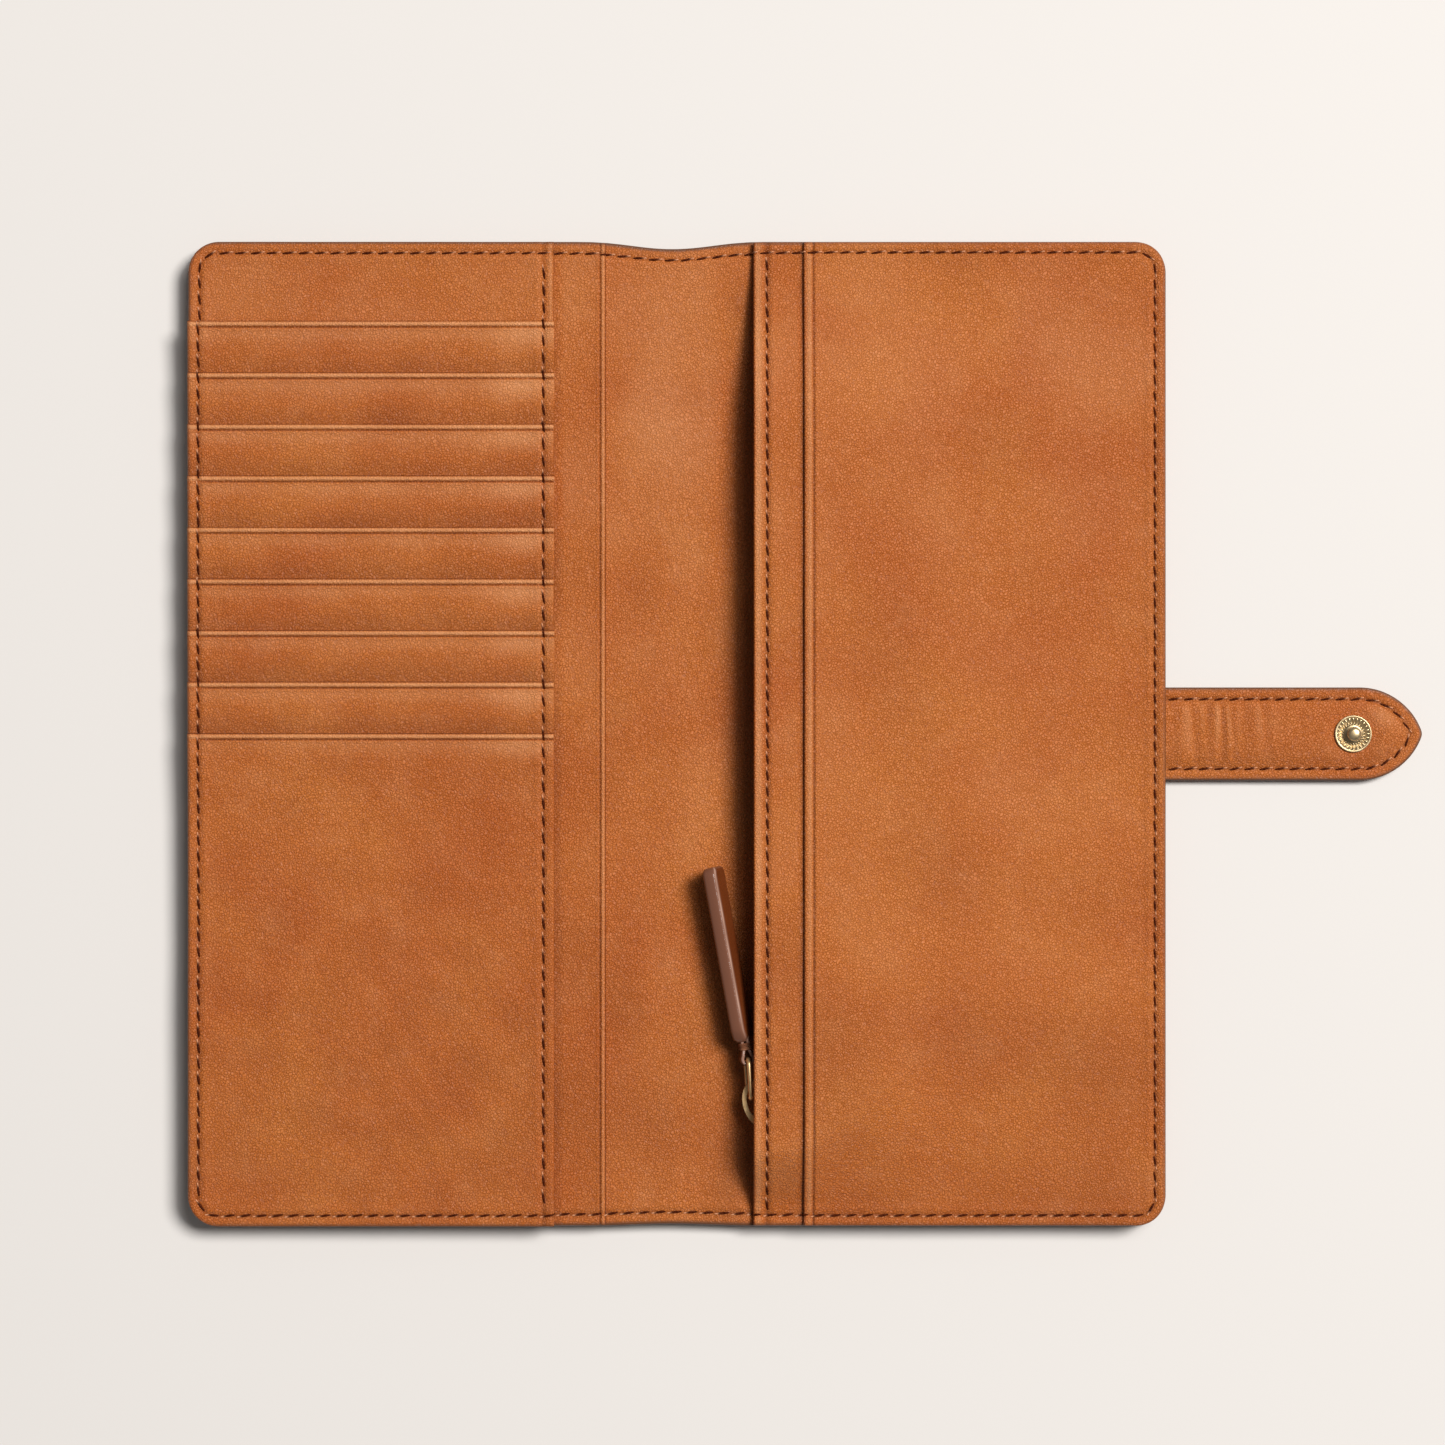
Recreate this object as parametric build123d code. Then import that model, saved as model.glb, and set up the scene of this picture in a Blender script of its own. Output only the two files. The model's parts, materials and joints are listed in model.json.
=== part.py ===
from build123d import *

import os
from math import atan2, cos, degrees, hypot, radians, sin, tan

# Long leather wallet, lying open with its inside up. Millimetres.
# Origin: middle of the spine, on the plane of the cover's outer face.
# +X runs from the spine to the strap, +Y to the top edge, +Z out of the inside face.

# Open outline
OPEN_WIDTH = 189.2
OPEN_HEIGHT = 190.5
CORNER_R = 6.0
SCALLOP_LEFT = -13.0
SCALLOP_RIGHT = 14.5
SCALLOP_TOP = 1.4
SCALLOP_BOTTOM = 0.4
HALF_W = OPEN_WIDTH / 2
HALF_H = OPEN_HEIGHT / 2

# Leather thicknesses, the thin clearance that stands for each glue line,
# and how far a cutting shape runs past what it cuts
GAP = 0.02
MARGIN = 1.0
COVER_T = 1.4
LINING_T = 0.7
PANEL_T = 0.8
CARD_BACK_T = 0.7
SLOT_T = 0.6
SLOT_LINING_T = 0.08
ZIP_BACK_T = 0.7
WALL_T = 1.0
SLIP_T = 0.8
BOARD_T = 0.46
BOARD_RECESS = 0.5
BOARD_INSET = 8.0
BOARD_CLEAR = 0.2

# The spine folds at two lines, so that the closed wallet is CLOSED_T thick
CLOSED_T = 19.0
FOLD_Z = 3.66
FOLD_X = CLOSED_T / 2 - FOLD_Z
FOLD_CLEAR = 0.04

# Left half: bill pocket, card slots and front card pocket
BILL_EDGE_X = -13.7
CARD_EDGE_X = -23.7
FIRST_SLOT_Y = 79.5
SLOT_PITCH = 9.92
SLOT_COUNT = 8
SLOT_STRIP = 14.0
CARD_SEAM_INSET = 2.0
SLOT_LINING_INSET = 1.0
SLOT_LINING_OVERLAP = 3.0

# Right half: zip pocket with a raised mouth, slip pocket on its front wall
ZIP_BACK_EDGE_X = 15.2
WALL_EDGE_X = 14.75
WALL_RIM_X = 90.0
WALL_EDGE_Z = 10.4
WALL_RIM_Y = 91.5
WALL_LOW_Y = -80.5
WALL_HIGH_Y = 60.0
SLIP_EDGE_X = 24.4
ZIP_SEAM_X = 17.35

# Zip chain, standing upright under the raised edge and facing the spine
CHAIN_X = 16.8
CHAIN_Z = 6.4
CHAIN_LOW_Y = -78.0
CHAIN_HIGH_Y = 57.0
TAPE_SPARE = 2.0
TAPE_T = 0.4
TAPE_END_X = 26.0
TOOTH_STEP = 1.05
TOOTH_WIDTH = 0.85
TOOTH_LENGTH = 1.9
TOOTH_DEPTH = 1.7
TOOTH_OVERLAP = 0.2
PARTED = 0.7
PARTING_LENGTH = 2.5
STOP_LENGTH = 1.4
STOP_GAP = 0.3

# Slider, link and pull tab
SLIDER_Y = -71.5
SLIDER_LENGTH = 9.0
SLIDER_HALF_WIDE = 2.95
SLIDER_HALF_NARROW = 2.55
SLIDER_FACE_X = 15.0
SLIDER_BACK_X = 18.6
PLATE_T = 0.8
FLANGE_T = 0.5
TAPE_SLOT = 0.7
SHOULDER = 1.0
DIVIDER_HALF = 0.4
DIVIDER_LENGTH = 2.2
BAIL_HALF_WIDTH = 1.1
# Section of the bail: x, then distance along Y from the slider's middle
BAIL_OUTER = [(15.2, 4.7), (13.1, 3.7), (12.6, 1.6), (12.9, -0.4), (13.6, -2.0), (15.2, -3.6)]
BAIL_INNER = [(15.2, -2.2), (14.25, -1.3), (13.65, 0.0), (13.4, 1.6), (13.75, 3.0), (15.2, 3.7)]
# Link and tab: places are x, then y
LINK_LEAN = 6.0
LINK_START = (14.0, -69.8)
LINK_END = (13.5, -62.4)
LINK_HALF_WIDTH = 3.0
LINK_WIRE_R = 0.42
LINK_BEND_R = 1.0
TAB_START = (12.2, -59.0)
TAB_END = (6.65, -25.8)
TAB_Z = 6.6
TAB_T = 3.0
TAB_WIDTH = 7.2
TAB_LEAN = 16.0
TAB_TAPER = 3.4
TAB_CORNER_R = 1.6
NECK_WIDTH = 4.4
NECK_T = 2.2
NECK_LENGTH = 4.8
BINDING_LENGTH = 1.5
BINDING_T = 0.35
LOOP_R = 1.45
LOOP_BORE_R = 0.6

# Strap with its snap
STRAP_WIDTH = 18.0
STRAP_LAYER = 0.79
STRAP_T = 1.6
STRAP_ROOT_X = 72.0
STRAP_FOLD_X = 95.0
STRAP_FOLD_Z = 0.4
SNAP_REACH = 2.5
STRAP_MID = CLOSED_T + SNAP_REACH - 2 * STRAP_FOLD_Z
STRAP_FOLD2_X = STRAP_FOLD_X + STRAP_MID
OGIVE_START_X = 132.3
TIP_X = 144.4
NOSE_R = 2.0
STRAP_SEAM_INSET = 2.25
STUD_X = 131.0
SOCKET_X = -(STRAP_FOLD_X + STRAP_FOLD2_X - STUD_X)
STUD_R = 3.6
STUD_FLANGE_T = 0.5
STUD_RIM = 0.45
STUD_DISH_R = 2.0
STUD_DISH_Z = 0.26
STUD_NECK_R = 1.1
STUD_NECK_TOP = 1.2
STUD_HEAD_R = 1.42
STUD_CROWN_R = 0.6
STUD_TOP = 2.4
STUD_HEAD_BEVEL = 0.2
STUD_DOME_H = 0.6
STUD_CROWN_H = 0.15
POST_R = 0.7
CAP_R = 5.2
CAP_T = 1.0
CAP_EDGE_T = 0.25
CAP_SHOULDER = 0.7
CAP_CROWN_DROP = 0.05
SOCKET_R = 4.3
SOCKET_T = 1.95
SOCKET_EDGE_T = 0.5
SOCKET_SHOULDER = 0.6
SOCKET_SHOULDER_T = 0.3
SOCKET_LIP_T = 0.2
SOCKET_MOUTH_R = 1.6
SOCKET_CAVITY_R = 2.1
SPRING_WIRE_R = 0.2
SPRING_R = 1.54
SPRING_CLEAR = 0.02
SOCKET_POST_R = 1.5
EYELET_BORE_R = 1.0
EYELET_T = 0.4
EYELET_ROOM = 0.3
POST_CLEAR = 0.1

# Stitches
STITCH_PITCH = 3.07
STITCH_LENGTH = 2.1
STITCH_WIDTH = 0.55
STITCH_HEIGHT = 0.25
EDGE_SEAM_INSET = 2.6
SLOT_SEAM_PITCH = 3.3
STRAP_SEAM_PITCH = 2.9
STRAP_OGIVE_STITCHES = 4
ANCHOR_HALF = 5.0
ANCHOR_GAP = 0.6
STITCH_SAMPLES = 8

# Heights of the stacked layers
LINING_Z = COVER_T + GAP
LINING_TOP = LINING_Z + LINING_T
BILL_Z = LINING_TOP + GAP
BILL_TOP = BILL_Z + PANEL_T
CARD_BACK_Z = BILL_TOP + GAP
CARD_BACK_TOP = CARD_BACK_Z + CARD_BACK_T
SLOT_Z = CARD_BACK_TOP + GAP + SLOT_COUNT * (SLOT_LINING_T + GAP)
SLOT_SLOPE = (SLOT_T + GAP) / SLOT_PITCH
ZIP_BACK_Z = LINING_TOP + GAP
RIM_Z = ZIP_BACK_Z + ZIP_BACK_T + GAP


def outline_wire(inset=0.0):
    """The wallet's outline, clockwise from the top left corner, drawn in by inset."""
    w = HALF_W - inset
    h = HALF_H - inset
    r = CORNER_R - inset
    middle = (SCALLOP_LEFT + SCALLOP_RIGHT) / 2
    return Wire([
        Line((r - w, h), (SCALLOP_LEFT, h)),
        ThreePointArc((SCALLOP_LEFT, h), (middle, h - SCALLOP_TOP), (SCALLOP_RIGHT, h)),
        Line((SCALLOP_RIGHT, h), (w - r, h)),
        CenterArc((w - r, h - r), r, 90, -90),
        Line((w, h - r), (w, r - h)),
        CenterArc((w - r, r - h), r, 0, -90),
        Line((w - r, -h), (SCALLOP_RIGHT, -h)),
        ThreePointArc((SCALLOP_RIGHT, -h), (middle, SCALLOP_BOTTOM - h), (SCALLOP_LEFT, -h)),
        Line((SCALLOP_LEFT, -h), (r - w, -h)),
        CenterArc((r - w, r - h), r, 270, -90),
        Line((-w, r - h), (-w, h - r)),
        CenterArc((r - w, h - r), r, 180, -90),
    ])


def block(low, high):
    """A box from its lowest to its highest corner."""
    size = [b - a for a, b in zip(low, high)]
    centre = [(a + b) / 2 for a, b in zip(low, high)]
    return Pos(*centre) * Box(*size)


def prism(points, direction):
    """A flat polygon of points in space, drawn out along a direction."""
    face = Face(Wire.make_polygon([Vector(*p) for p in points]))
    return Solid.extrude(face, Vector(*direction))


def cylinder(radius, low_z, high_z, x=0.0, y=0.0):
    return Pos(x, y, (low_z + high_z) / 2) * Cylinder(radius, high_z - low_z)


def within_outline(shape, inset=0.0):
    """The part of a shape that lies inside the wallet's outline."""
    face = Face(outline_wire(inset))
    envelope = Pos(0, 0, -MARGIN) * extrude(face, amount=CLOSED_T, dir=(0, 0, 1))
    return shape & envelope


def sheet(x0, x1, z0, thickness, inset=0.0):
    """A flat layer between two x values, cut to the outline."""
    slab = block((x0, -HALF_H - MARGIN, z0), (x1, HALF_H + MARGIN, z0 + thickness))
    return within_outline(slab, inset)


def slot_edge_y(index):
    return FIRST_SLOT_Y - index * SLOT_PITCH


def slot_underside(index, y):
    """Height under a card strip: each strip leans on the one behind it."""
    foot = slot_edge_y(index) - SLOT_STRIP
    return SLOT_Z + max(0.0, y - foot) * SLOT_SLOPE


def wall_underside(x, y):
    """Height under the zip pocket's front wall: a wedge, ramped down at both ends."""
    flat_y = WALL_HIGH_Y if y > 0 else -WALL_LOW_Y
    across = min(1.0, max(0.0, (WALL_RIM_X - x) / (WALL_RIM_X - WALL_EDGE_X)))
    along = min(1.0, max(0.0, (WALL_RIM_Y - abs(y)) / (WALL_RIM_Y - flat_y)))
    return RIM_Z + (WALL_EDGE_Z - RIM_Z) * across * along


def surface_z(x, y):
    """Height of the inside surface that a stitch lies on."""
    if x >= SLIP_EDGE_X:
        return wall_underside(x, y) + WALL_T + GAP + SLIP_T
    if x >= WALL_EDGE_X:
        return wall_underside(x, y) + WALL_T
    if x > BILL_EDGE_X:
        return LINING_TOP
    if x > CARD_EDGE_X:
        return BILL_TOP
    if y > FIRST_SLOT_Y:
        return CARD_BACK_TOP
    index = min(SLOT_COUNT, int((FIRST_SLOT_Y - y) / SLOT_PITCH))
    return slot_underside(index, y) + SLOT_T


def stitch_on(surface, x, y, heading):
    """One stitch as a flat bar, laid on a height function so that it never sinks in."""
    samples = [i / STITCH_SAMPLES - 0.5 for i in range(STITCH_SAMPLES + 1)]
    reach = STITCH_LENGTH + 2 * GAP
    points = [(x + s * reach * cos(heading), y + s * reach * sin(heading)) for s in samples]
    heights = [surface(*p) for p in points]
    lean = atan2(heights[-1] - heights[0], reach)
    middle = (heights[0] + heights[-1]) / 2
    lift = max(h - middle - s * reach * tan(lean) for h, s in zip(heights, samples))
    z = middle + lift + STITCH_HEIGHT / 2 + 2 * GAP
    place = Pos(x, y, z) * Rot(0, 0, degrees(heading)) * Rot(0, -degrees(lean), 0)
    return place * Box(STITCH_LENGTH, STITCH_WIDTH, STITCH_HEIGHT)


def straight_seam(surface, start, end, pitch):
    """Evenly spaced stitches between two points."""
    length = hypot(end[0] - start[0], end[1] - start[1])
    count = int(length / pitch)
    heading = atan2(end[1] - start[1], end[0] - start[0])
    first = (length - (count - 1) * pitch) / 2
    steps = [first + i * pitch for i in range(count)]
    places = [(start[0] + s * cos(heading), start[1] + s * sin(heading)) for s in steps]
    return [stitch_on(surface, x, y, heading) for x, y in places]


def edge_seam():
    """The stitches all round the wallet, sorted by the body that they ride on."""
    path = outline_wire(EDGE_SEAM_INSET)
    count = round(path.length / STITCH_PITCH)
    groups = {"front": [], "spine": [], "back": []}
    for i in range(count):
        u = (i + 0.5) / count
        place = path.position_at(u)
        along = path.tangent_at(u)
        stitch = stitch_on(surface_z, place.X, place.Y, atan2(along.Y, along.X))
        side = "front" if place.X < -FOLD_X else "back" if place.X > FOLD_X else "spine"
        reach = STITCH_LENGTH / 2 + FOLD_CLEAR
        if abs(abs(place.X) - FOLD_X) > reach:
            groups[side].append(stitch)
    return groups


def cover_half(x0, x1):
    """Outer leather of one half, with a shallow recess for its board."""
    leather = sheet(x0, x1, 0, COVER_T)
    recess = board_area(x0, x1, COVER_T - BOARD_RECESS, BOARD_RECESS, 0.0)
    return leather - recess


def board_area(x0, x1, z0, thickness, clearance):
    """The rectangle that the board fills in one half of the cover."""
    low = (x0 + BOARD_INSET + clearance, -HALF_H + BOARD_INSET + clearance, z0)
    high = (x1 - BOARD_INSET - clearance, HALF_H - BOARD_INSET - clearance, z0 + thickness)
    return block(low, high)


def board(x0, x1):
    """The fibre board in one half, flush with the inside of the cover."""
    z0 = COVER_T - BOARD_RECESS + GAP
    return board_area(x0, x1, z0, BOARD_T, BOARD_CLEAR)


def card_slot(index):
    """A leather strip that closes one card slot, leaning on the strip behind."""
    top = slot_edge_y(index)
    foot = top - SLOT_STRIP
    rise = SLOT_STRIP * SLOT_SLOPE
    profile = [
        (-HALF_W, foot, SLOT_Z),
        (-HALF_W, top, SLOT_Z + rise),
        (-HALF_W, top, SLOT_Z + rise + SLOT_T),
        (-HALF_W, foot, SLOT_Z + SLOT_T),
    ]
    return prism(profile, (CARD_EDGE_X + HALF_W, 0, 0))


def card_pocket_front():
    """The lowest, full card pocket: a leaning lip, then flat down to the bottom edge."""
    top = slot_edge_y(SLOT_COUNT)
    foot = top - SLOT_STRIP
    rise = SLOT_STRIP * SLOT_SLOPE
    bottom = -HALF_H - MARGIN
    profile = [
        (-HALF_W, bottom, SLOT_Z),
        (-HALF_W, foot, SLOT_Z),
        (-HALF_W, top, SLOT_Z + rise),
        (-HALF_W, top, SLOT_Z + rise + SLOT_T),
        (-HALF_W, foot, SLOT_Z + SLOT_T),
        (-HALF_W, bottom, SLOT_Z + SLOT_T),
    ]
    return within_outline(prism(profile, (CARD_EDGE_X + HALF_W, 0, 0)))


def card_slot_linings():
    """Thin fabric backs of the card slots, one hanging from the foot of each strip."""
    layers = []
    for index in range(SLOT_COUNT):
        top = slot_edge_y(index) - SLOT_STRIP + SLOT_LINING_OVERLAP
        z0 = CARD_BACK_TOP + GAP + index * (SLOT_LINING_T + GAP)
        low = (-HALF_W, -HALF_H, z0)
        layer = block(low, (CARD_EDGE_X - SLOT_LINING_INSET, top, z0 + SLOT_LINING_T))
        layers.append(within_outline(layer, SLOT_LINING_INSET))
    return layers


def wedge_wall(x0, lift, thickness):
    """A leather wall on the raised mouth: flat rim, wedge in the middle, ramps at both ends."""
    sections = []
    for y in (-HALF_H, -WALL_RIM_Y, WALL_LOW_Y, WALL_HIGH_Y, WALL_RIM_Y, HALF_H):
        under = [(x, y, wall_underside(x, y) + lift) for x in (x0, WALL_RIM_X, HALF_W)]
        over = [(x, y, z + thickness) for x, y, z in reversed(under)]
        sections.append(Wire.make_polygon([Vector(*p) for p in under + over]))
    return within_outline(Solid.make_loft(sections, ruled=True))


def tape_profile(side, leg_end, y):
    """Section of one zip tape: an upright leg beside the teeth and a flange sewn to a wall."""
    left = CHAIN_X - TAPE_T / 2
    right = CHAIN_X + TAPE_T / 2
    sides = (left, TAPE_END_X, right)
    if side == "lower":
        outer = [RIM_Z for x in sides]
        inner = [RIM_Z + TAPE_T for x in sides]
    else:
        outer = [wall_underside(x, 0) - GAP for x in sides]
        inner = [z - TAPE_T for z in outer]
    points = [
        (left, outer[0]), (TAPE_END_X, outer[1]), (TAPE_END_X, inner[1]),
        (right, inner[2]), (right, leg_end), (left, leg_end),
    ]
    return [(x, y, z) for x, z in points]


def zip_tape(side):
    """A tape whose edge follows the teeth, drawn back where they part in the slider."""
    sign = -1 if side == "lower" else 1
    closed_end = CHAIN_Z + sign * (TOOTH_LENGTH - TOOTH_OVERLAP + GAP)
    parted_end = closed_end + sign * PARTED
    split_y = SLIDER_Y + SHOULDER + TOOTH_WIDTH / 2
    low_y = CHAIN_LOW_Y - TAPE_SPARE
    high_y = CHAIN_HIGH_Y + TAPE_SPARE
    parted = prism(tape_profile(side, parted_end, low_y), (0, split_y - low_y, 0))
    closed = prism(tape_profile(side, closed_end, split_y), (0, high_y - split_y, 0))
    return parted + closed


def tooth_offset(y):
    """How far a tooth stands off the centre line: nothing when closed, PARTED past the divider."""
    return PARTED * min(1.0, max(0.0, (SLIDER_Y + SHOULDER - y) / PARTING_LENGTH))


def zip_teeth(side):
    """Every second tooth of the chain, on one tape."""
    sign = -1 if side == "lower" else 1
    shift = 0 if side == "lower" else TOOTH_STEP
    teeth = []
    count = int((CHAIN_HIGH_Y - CHAIN_LOW_Y - TOOTH_STEP) / (2 * TOOTH_STEP))
    for i in range(count):
        y = CHAIN_LOW_Y + TOOTH_STEP + shift + i * 2 * TOOTH_STEP
        middle = CHAIN_Z + sign * (TOOTH_LENGTH / 2 - TOOTH_OVERLAP + tooth_offset(y))
        teeth.append(Pos(CHAIN_X, y, middle) * Box(TOOTH_DEPTH, TOOTH_WIDTH, TOOTH_LENGTH))
    return teeth


def zip_stops():
    """One stop across the joined end, and two small ones at the slider's end."""
    reach = TOOTH_LENGTH - TOOTH_OVERLAP
    half = STOP_LENGTH / 2
    joined_y = CHAIN_HIGH_Y + half + STOP_GAP
    joined = Pos(CHAIN_X, joined_y, CHAIN_Z) * Box(TOOTH_DEPTH, STOP_LENGTH, 2 * reach)
    single = Box(TOOTH_DEPTH, STOP_LENGTH, reach - TOOTH_OVERLAP)
    offset = PARTED + reach / 2 + TOOTH_OVERLAP / 2
    open_y = CHAIN_LOW_Y - half - STOP_GAP
    pair = [Pos(CHAIN_X, open_y, CHAIN_Z + s * offset) * single for s in (-1, 1)]
    return joined, pair


def slider_face(shrink, x):
    """Outline of the slider seen from the spine: wider at the end where the teeth part."""
    y0 = SLIDER_Y - SLIDER_LENGTH / 2
    y1 = SLIDER_Y + SLIDER_LENGTH / 2
    wide = SLIDER_HALF_WIDE - shrink
    narrow = SLIDER_HALF_NARROW - shrink
    middle_y = SLIDER_Y - SHOULDER
    points = [
        (x, y0, -wide), (x, middle_y, -wide), (x, y1, -narrow),
        (x, y1, narrow), (x, middle_y, wide), (x, y0, wide),
    ]
    return [(px, py, CHAIN_Z + pz) for px, py, pz in points]


def slider_bail():
    """The arched bridge that the link hangs on."""
    z0 = CHAIN_Z - BAIL_HALF_WIDTH
    outer_curve = Spline([(x, SLIDER_Y + y, z0) for x, y in BAIL_OUTER])
    inner_curve = Spline([(x, SLIDER_Y + y, z0) for x, y in BAIL_INNER])
    ends = [
        Line(outer_curve @ 1, inner_curve @ 0),
        Line(inner_curve @ 1, outer_curve @ 0),
    ]
    face = Face(Wire([outer_curve, ends[0], inner_curve, ends[1]]))
    return Solid.extrude(face, Vector(0, 0, 2 * BAIL_HALF_WIDTH))


def slider_space(x0, x1, y1, half_z):
    """A block through the slider, open past its end where the teeth part."""
    low = (x0, SLIDER_Y - SLIDER_LENGTH, CHAIN_Z - half_z)
    return block(low, (x1, y1, CHAIN_Z + half_z))


def slider_flanges(inner_x, depth):
    """The turned-in sides of the slider, open at both mouths and slotted for the tapes."""
    far_y = SLIDER_Y + SLIDER_LENGTH
    ring = prism(slider_face(0, inner_x), (depth, 0, 0))
    channel = prism(slider_face(FLANGE_T, inner_x), (depth, 0, 0))
    mouths = slider_space(inner_x, inner_x + depth, far_y, SLIDER_HALF_NARROW - FLANGE_T)
    wide_mouth = slider_space(inner_x, inner_x + depth, SLIDER_Y - SHOULDER, SLIDER_HALF_WIDE - FLANGE_T)
    tape_slots = slider_space(
        CHAIN_X - TAPE_SLOT / 2, CHAIN_X + TAPE_SLOT / 2, far_y, SLIDER_HALF_WIDE + MARGIN
    )
    return ring - channel - mouths - wide_mouth - tape_slots


def slider_divider(inner_x, depth):
    """The wedge that parts the teeth."""
    y = SLIDER_Y - SLIDER_LENGTH / 2
    points = [
        (inner_x, y, CHAIN_Z - DIVIDER_HALF),
        (inner_x, y, CHAIN_Z + DIVIDER_HALF),
        (inner_x, y + DIVIDER_LENGTH, CHAIN_Z),
    ]
    return prism(points, (depth, 0, 0))


def zip_slider():
    """Two plates joined by a divider, with flanges that leave a slot for each tape."""
    front = prism(slider_face(0, SLIDER_FACE_X), (PLATE_T, 0, 0))
    rear = prism(slider_face(0, SLIDER_BACK_X - PLATE_T), (PLATE_T, 0, 0))
    inner_x = SLIDER_FACE_X + PLATE_T
    depth = SLIDER_BACK_X - SLIDER_FACE_X - 2 * PLATE_T
    inside = slider_flanges(inner_x, depth) + slider_divider(inner_x, depth)
    return front + rear + inside + slider_bail()


def link_axis():
    """Direction of the link's cross bars: upright, leaning LINK_LEAN towards the strap."""
    return Vector(sin(radians(LINK_LEAN)), 0, cos(radians(LINK_LEAN)))


def pull_link():
    """A rectangular wire link through the bail."""
    start = Vector(*LINK_START, CHAIN_Z)
    end = Vector(*LINK_END, CHAIN_Z)
    along = end - start
    plane = Plane(origin=(start + end) * 0.5, x_dir=along, z_dir=along.cross(link_axis()))
    path = (plane * RectangleRounded(along.length, 2 * LINK_HALF_WIDTH, LINK_BEND_R)).wire()
    section = Plane(origin=path @ 0, z_dir=path % 0) * Circle(LINK_WIRE_R)
    return sweep(section, path=path)


def pull_tab():
    """A flat double leather tab, standing on edge, with a bound neck looped round the link."""
    start = Vector(*TAB_START, TAB_Z)
    end = Vector(*TAB_END, TAB_Z)
    along = end - start
    side = Vector(along.Y, -along.X, 0).normalized()
    lean = radians(TAB_LEAN)
    wide = Vector(0, 0, cos(lean)) - side * sin(lean)
    plane = Plane(origin=start, x_dir=along, z_dir=along.cross(wide))
    half = TAB_WIDTH / 2
    points = [
        (0, -NECK_WIDTH / 2), (TAB_TAPER, -half), (along.length, -half),
        (along.length, half), (TAB_TAPER, half), (0, NECK_WIDTH / 2),
    ]
    flat = make_face(Polyline(*points, close=True))
    far = flat.vertices().sort_by(Axis.X)[-2:]
    blade = extrude(plane * fillet(far, radius=TAB_CORNER_R), amount=TAB_T / 2, both=True)
    return blade + tab_neck()


def neck_plane():
    """Plane at the link's end bar: x towards the tab, y along the bar."""
    bar = Vector(*LINK_END, CHAIN_Z)
    toward = Vector(*TAB_START, CHAIN_Z) - bar
    axis = link_axis()
    toward = toward - axis * toward.dot(axis)
    return Plane(origin=bar, x_dir=toward, z_dir=toward.cross(axis))


def tab_neck():
    """The narrow end of the tab, folded round the link's end bar."""
    neck = Pos(NECK_LENGTH / 2, 0, 0) * Box(NECK_LENGTH, NECK_WIDTH, NECK_T)
    loop = Rot(90, 0, 0) * Cylinder(LOOP_R, NECK_WIDTH)
    bore = Rot(90, 0, 0) * Cylinder(LOOP_BORE_R, NECK_WIDTH + 2 * MARGIN)
    return neck_plane().location * (neck + loop - bore)


def tab_binding():
    """Thread wound round the neck, as one sleeve."""
    inner = Box(NECK_LENGTH, NECK_WIDTH + 2 * GAP, NECK_T + 2 * GAP)
    outer = Box(BINDING_LENGTH, NECK_WIDTH + 2 * BINDING_T, NECK_T + 2 * BINDING_T)
    return neck_plane().location * (Pos(NECK_LENGTH / 2, 0, 0) * (outer - inner))


def ogive_radius(half_width, nose_r):
    """Radius of the long arc that runs from the strap's straight side into its nose."""
    reach = TIP_X - NOSE_R - OGIVE_START_X
    return (reach**2 + half_width**2 - nose_r**2) / (2 * (half_width - nose_r))


def tip_face():
    """Outline of the strap's free end: straight sides, then an ogive with a small round nose."""
    half = STRAP_WIDTH / 2
    big_r = ogive_radius(half, NOSE_R)
    nose_x = TIP_X - NOSE_R
    swing = degrees(atan2(big_r - half, nose_x - OGIVE_START_X))
    edges = [
        Line((STRAP_FOLD2_X + FOLD_CLEAR, half), (OGIVE_START_X, half)),
        CenterArc((OGIVE_START_X, half - big_r), big_r, 90, swing - 90),
        CenterArc((nose_x, 0), NOSE_R, swing, -2 * swing),
        CenterArc((OGIVE_START_X, big_r - half), big_r, -swing, swing - 90),
        Line((OGIVE_START_X, -half), (STRAP_FOLD2_X + FOLD_CLEAR, -half)),
        Line((STRAP_FOLD2_X + FOLD_CLEAR, -half), (STRAP_FOLD2_X + FOLD_CLEAR, half)),
    ]
    return Face(Wire(edges))


def strap_layers():
    """The strap's two leather layers, each cut at the two lines where the strap bends."""
    nodes = {}
    half = STRAP_WIDTH / 2
    snap_hole = cylinder(POST_R + POST_CLEAR, -STRAP_T - MARGIN, MARGIN, x=STUD_X)
    for name, z0 in (("outer", -STRAP_T), ("inner", -STRAP_LAYER)):
        z1 = z0 + STRAP_LAYER
        root = block((STRAP_ROOT_X, -half, z0), (STRAP_FOLD_X, half, z1 - GAP))
        mid = block((STRAP_FOLD_X + FOLD_CLEAR, -half, z0), (STRAP_FOLD2_X, half, z1))
        tip = Pos(0, 0, z0) * extrude(tip_face(), amount=STRAP_LAYER, dir=(0, 0, 1))
        nodes[f"strap_base_{name}"] = root
        nodes[f"strap_mid_{name}"] = mid
        nodes[f"strap_tip_{name}"] = tip - snap_hole
    return nodes


def strap_top(x, y):
    """The strap's inner face is flat and level with the origin."""
    return 0.0


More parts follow.
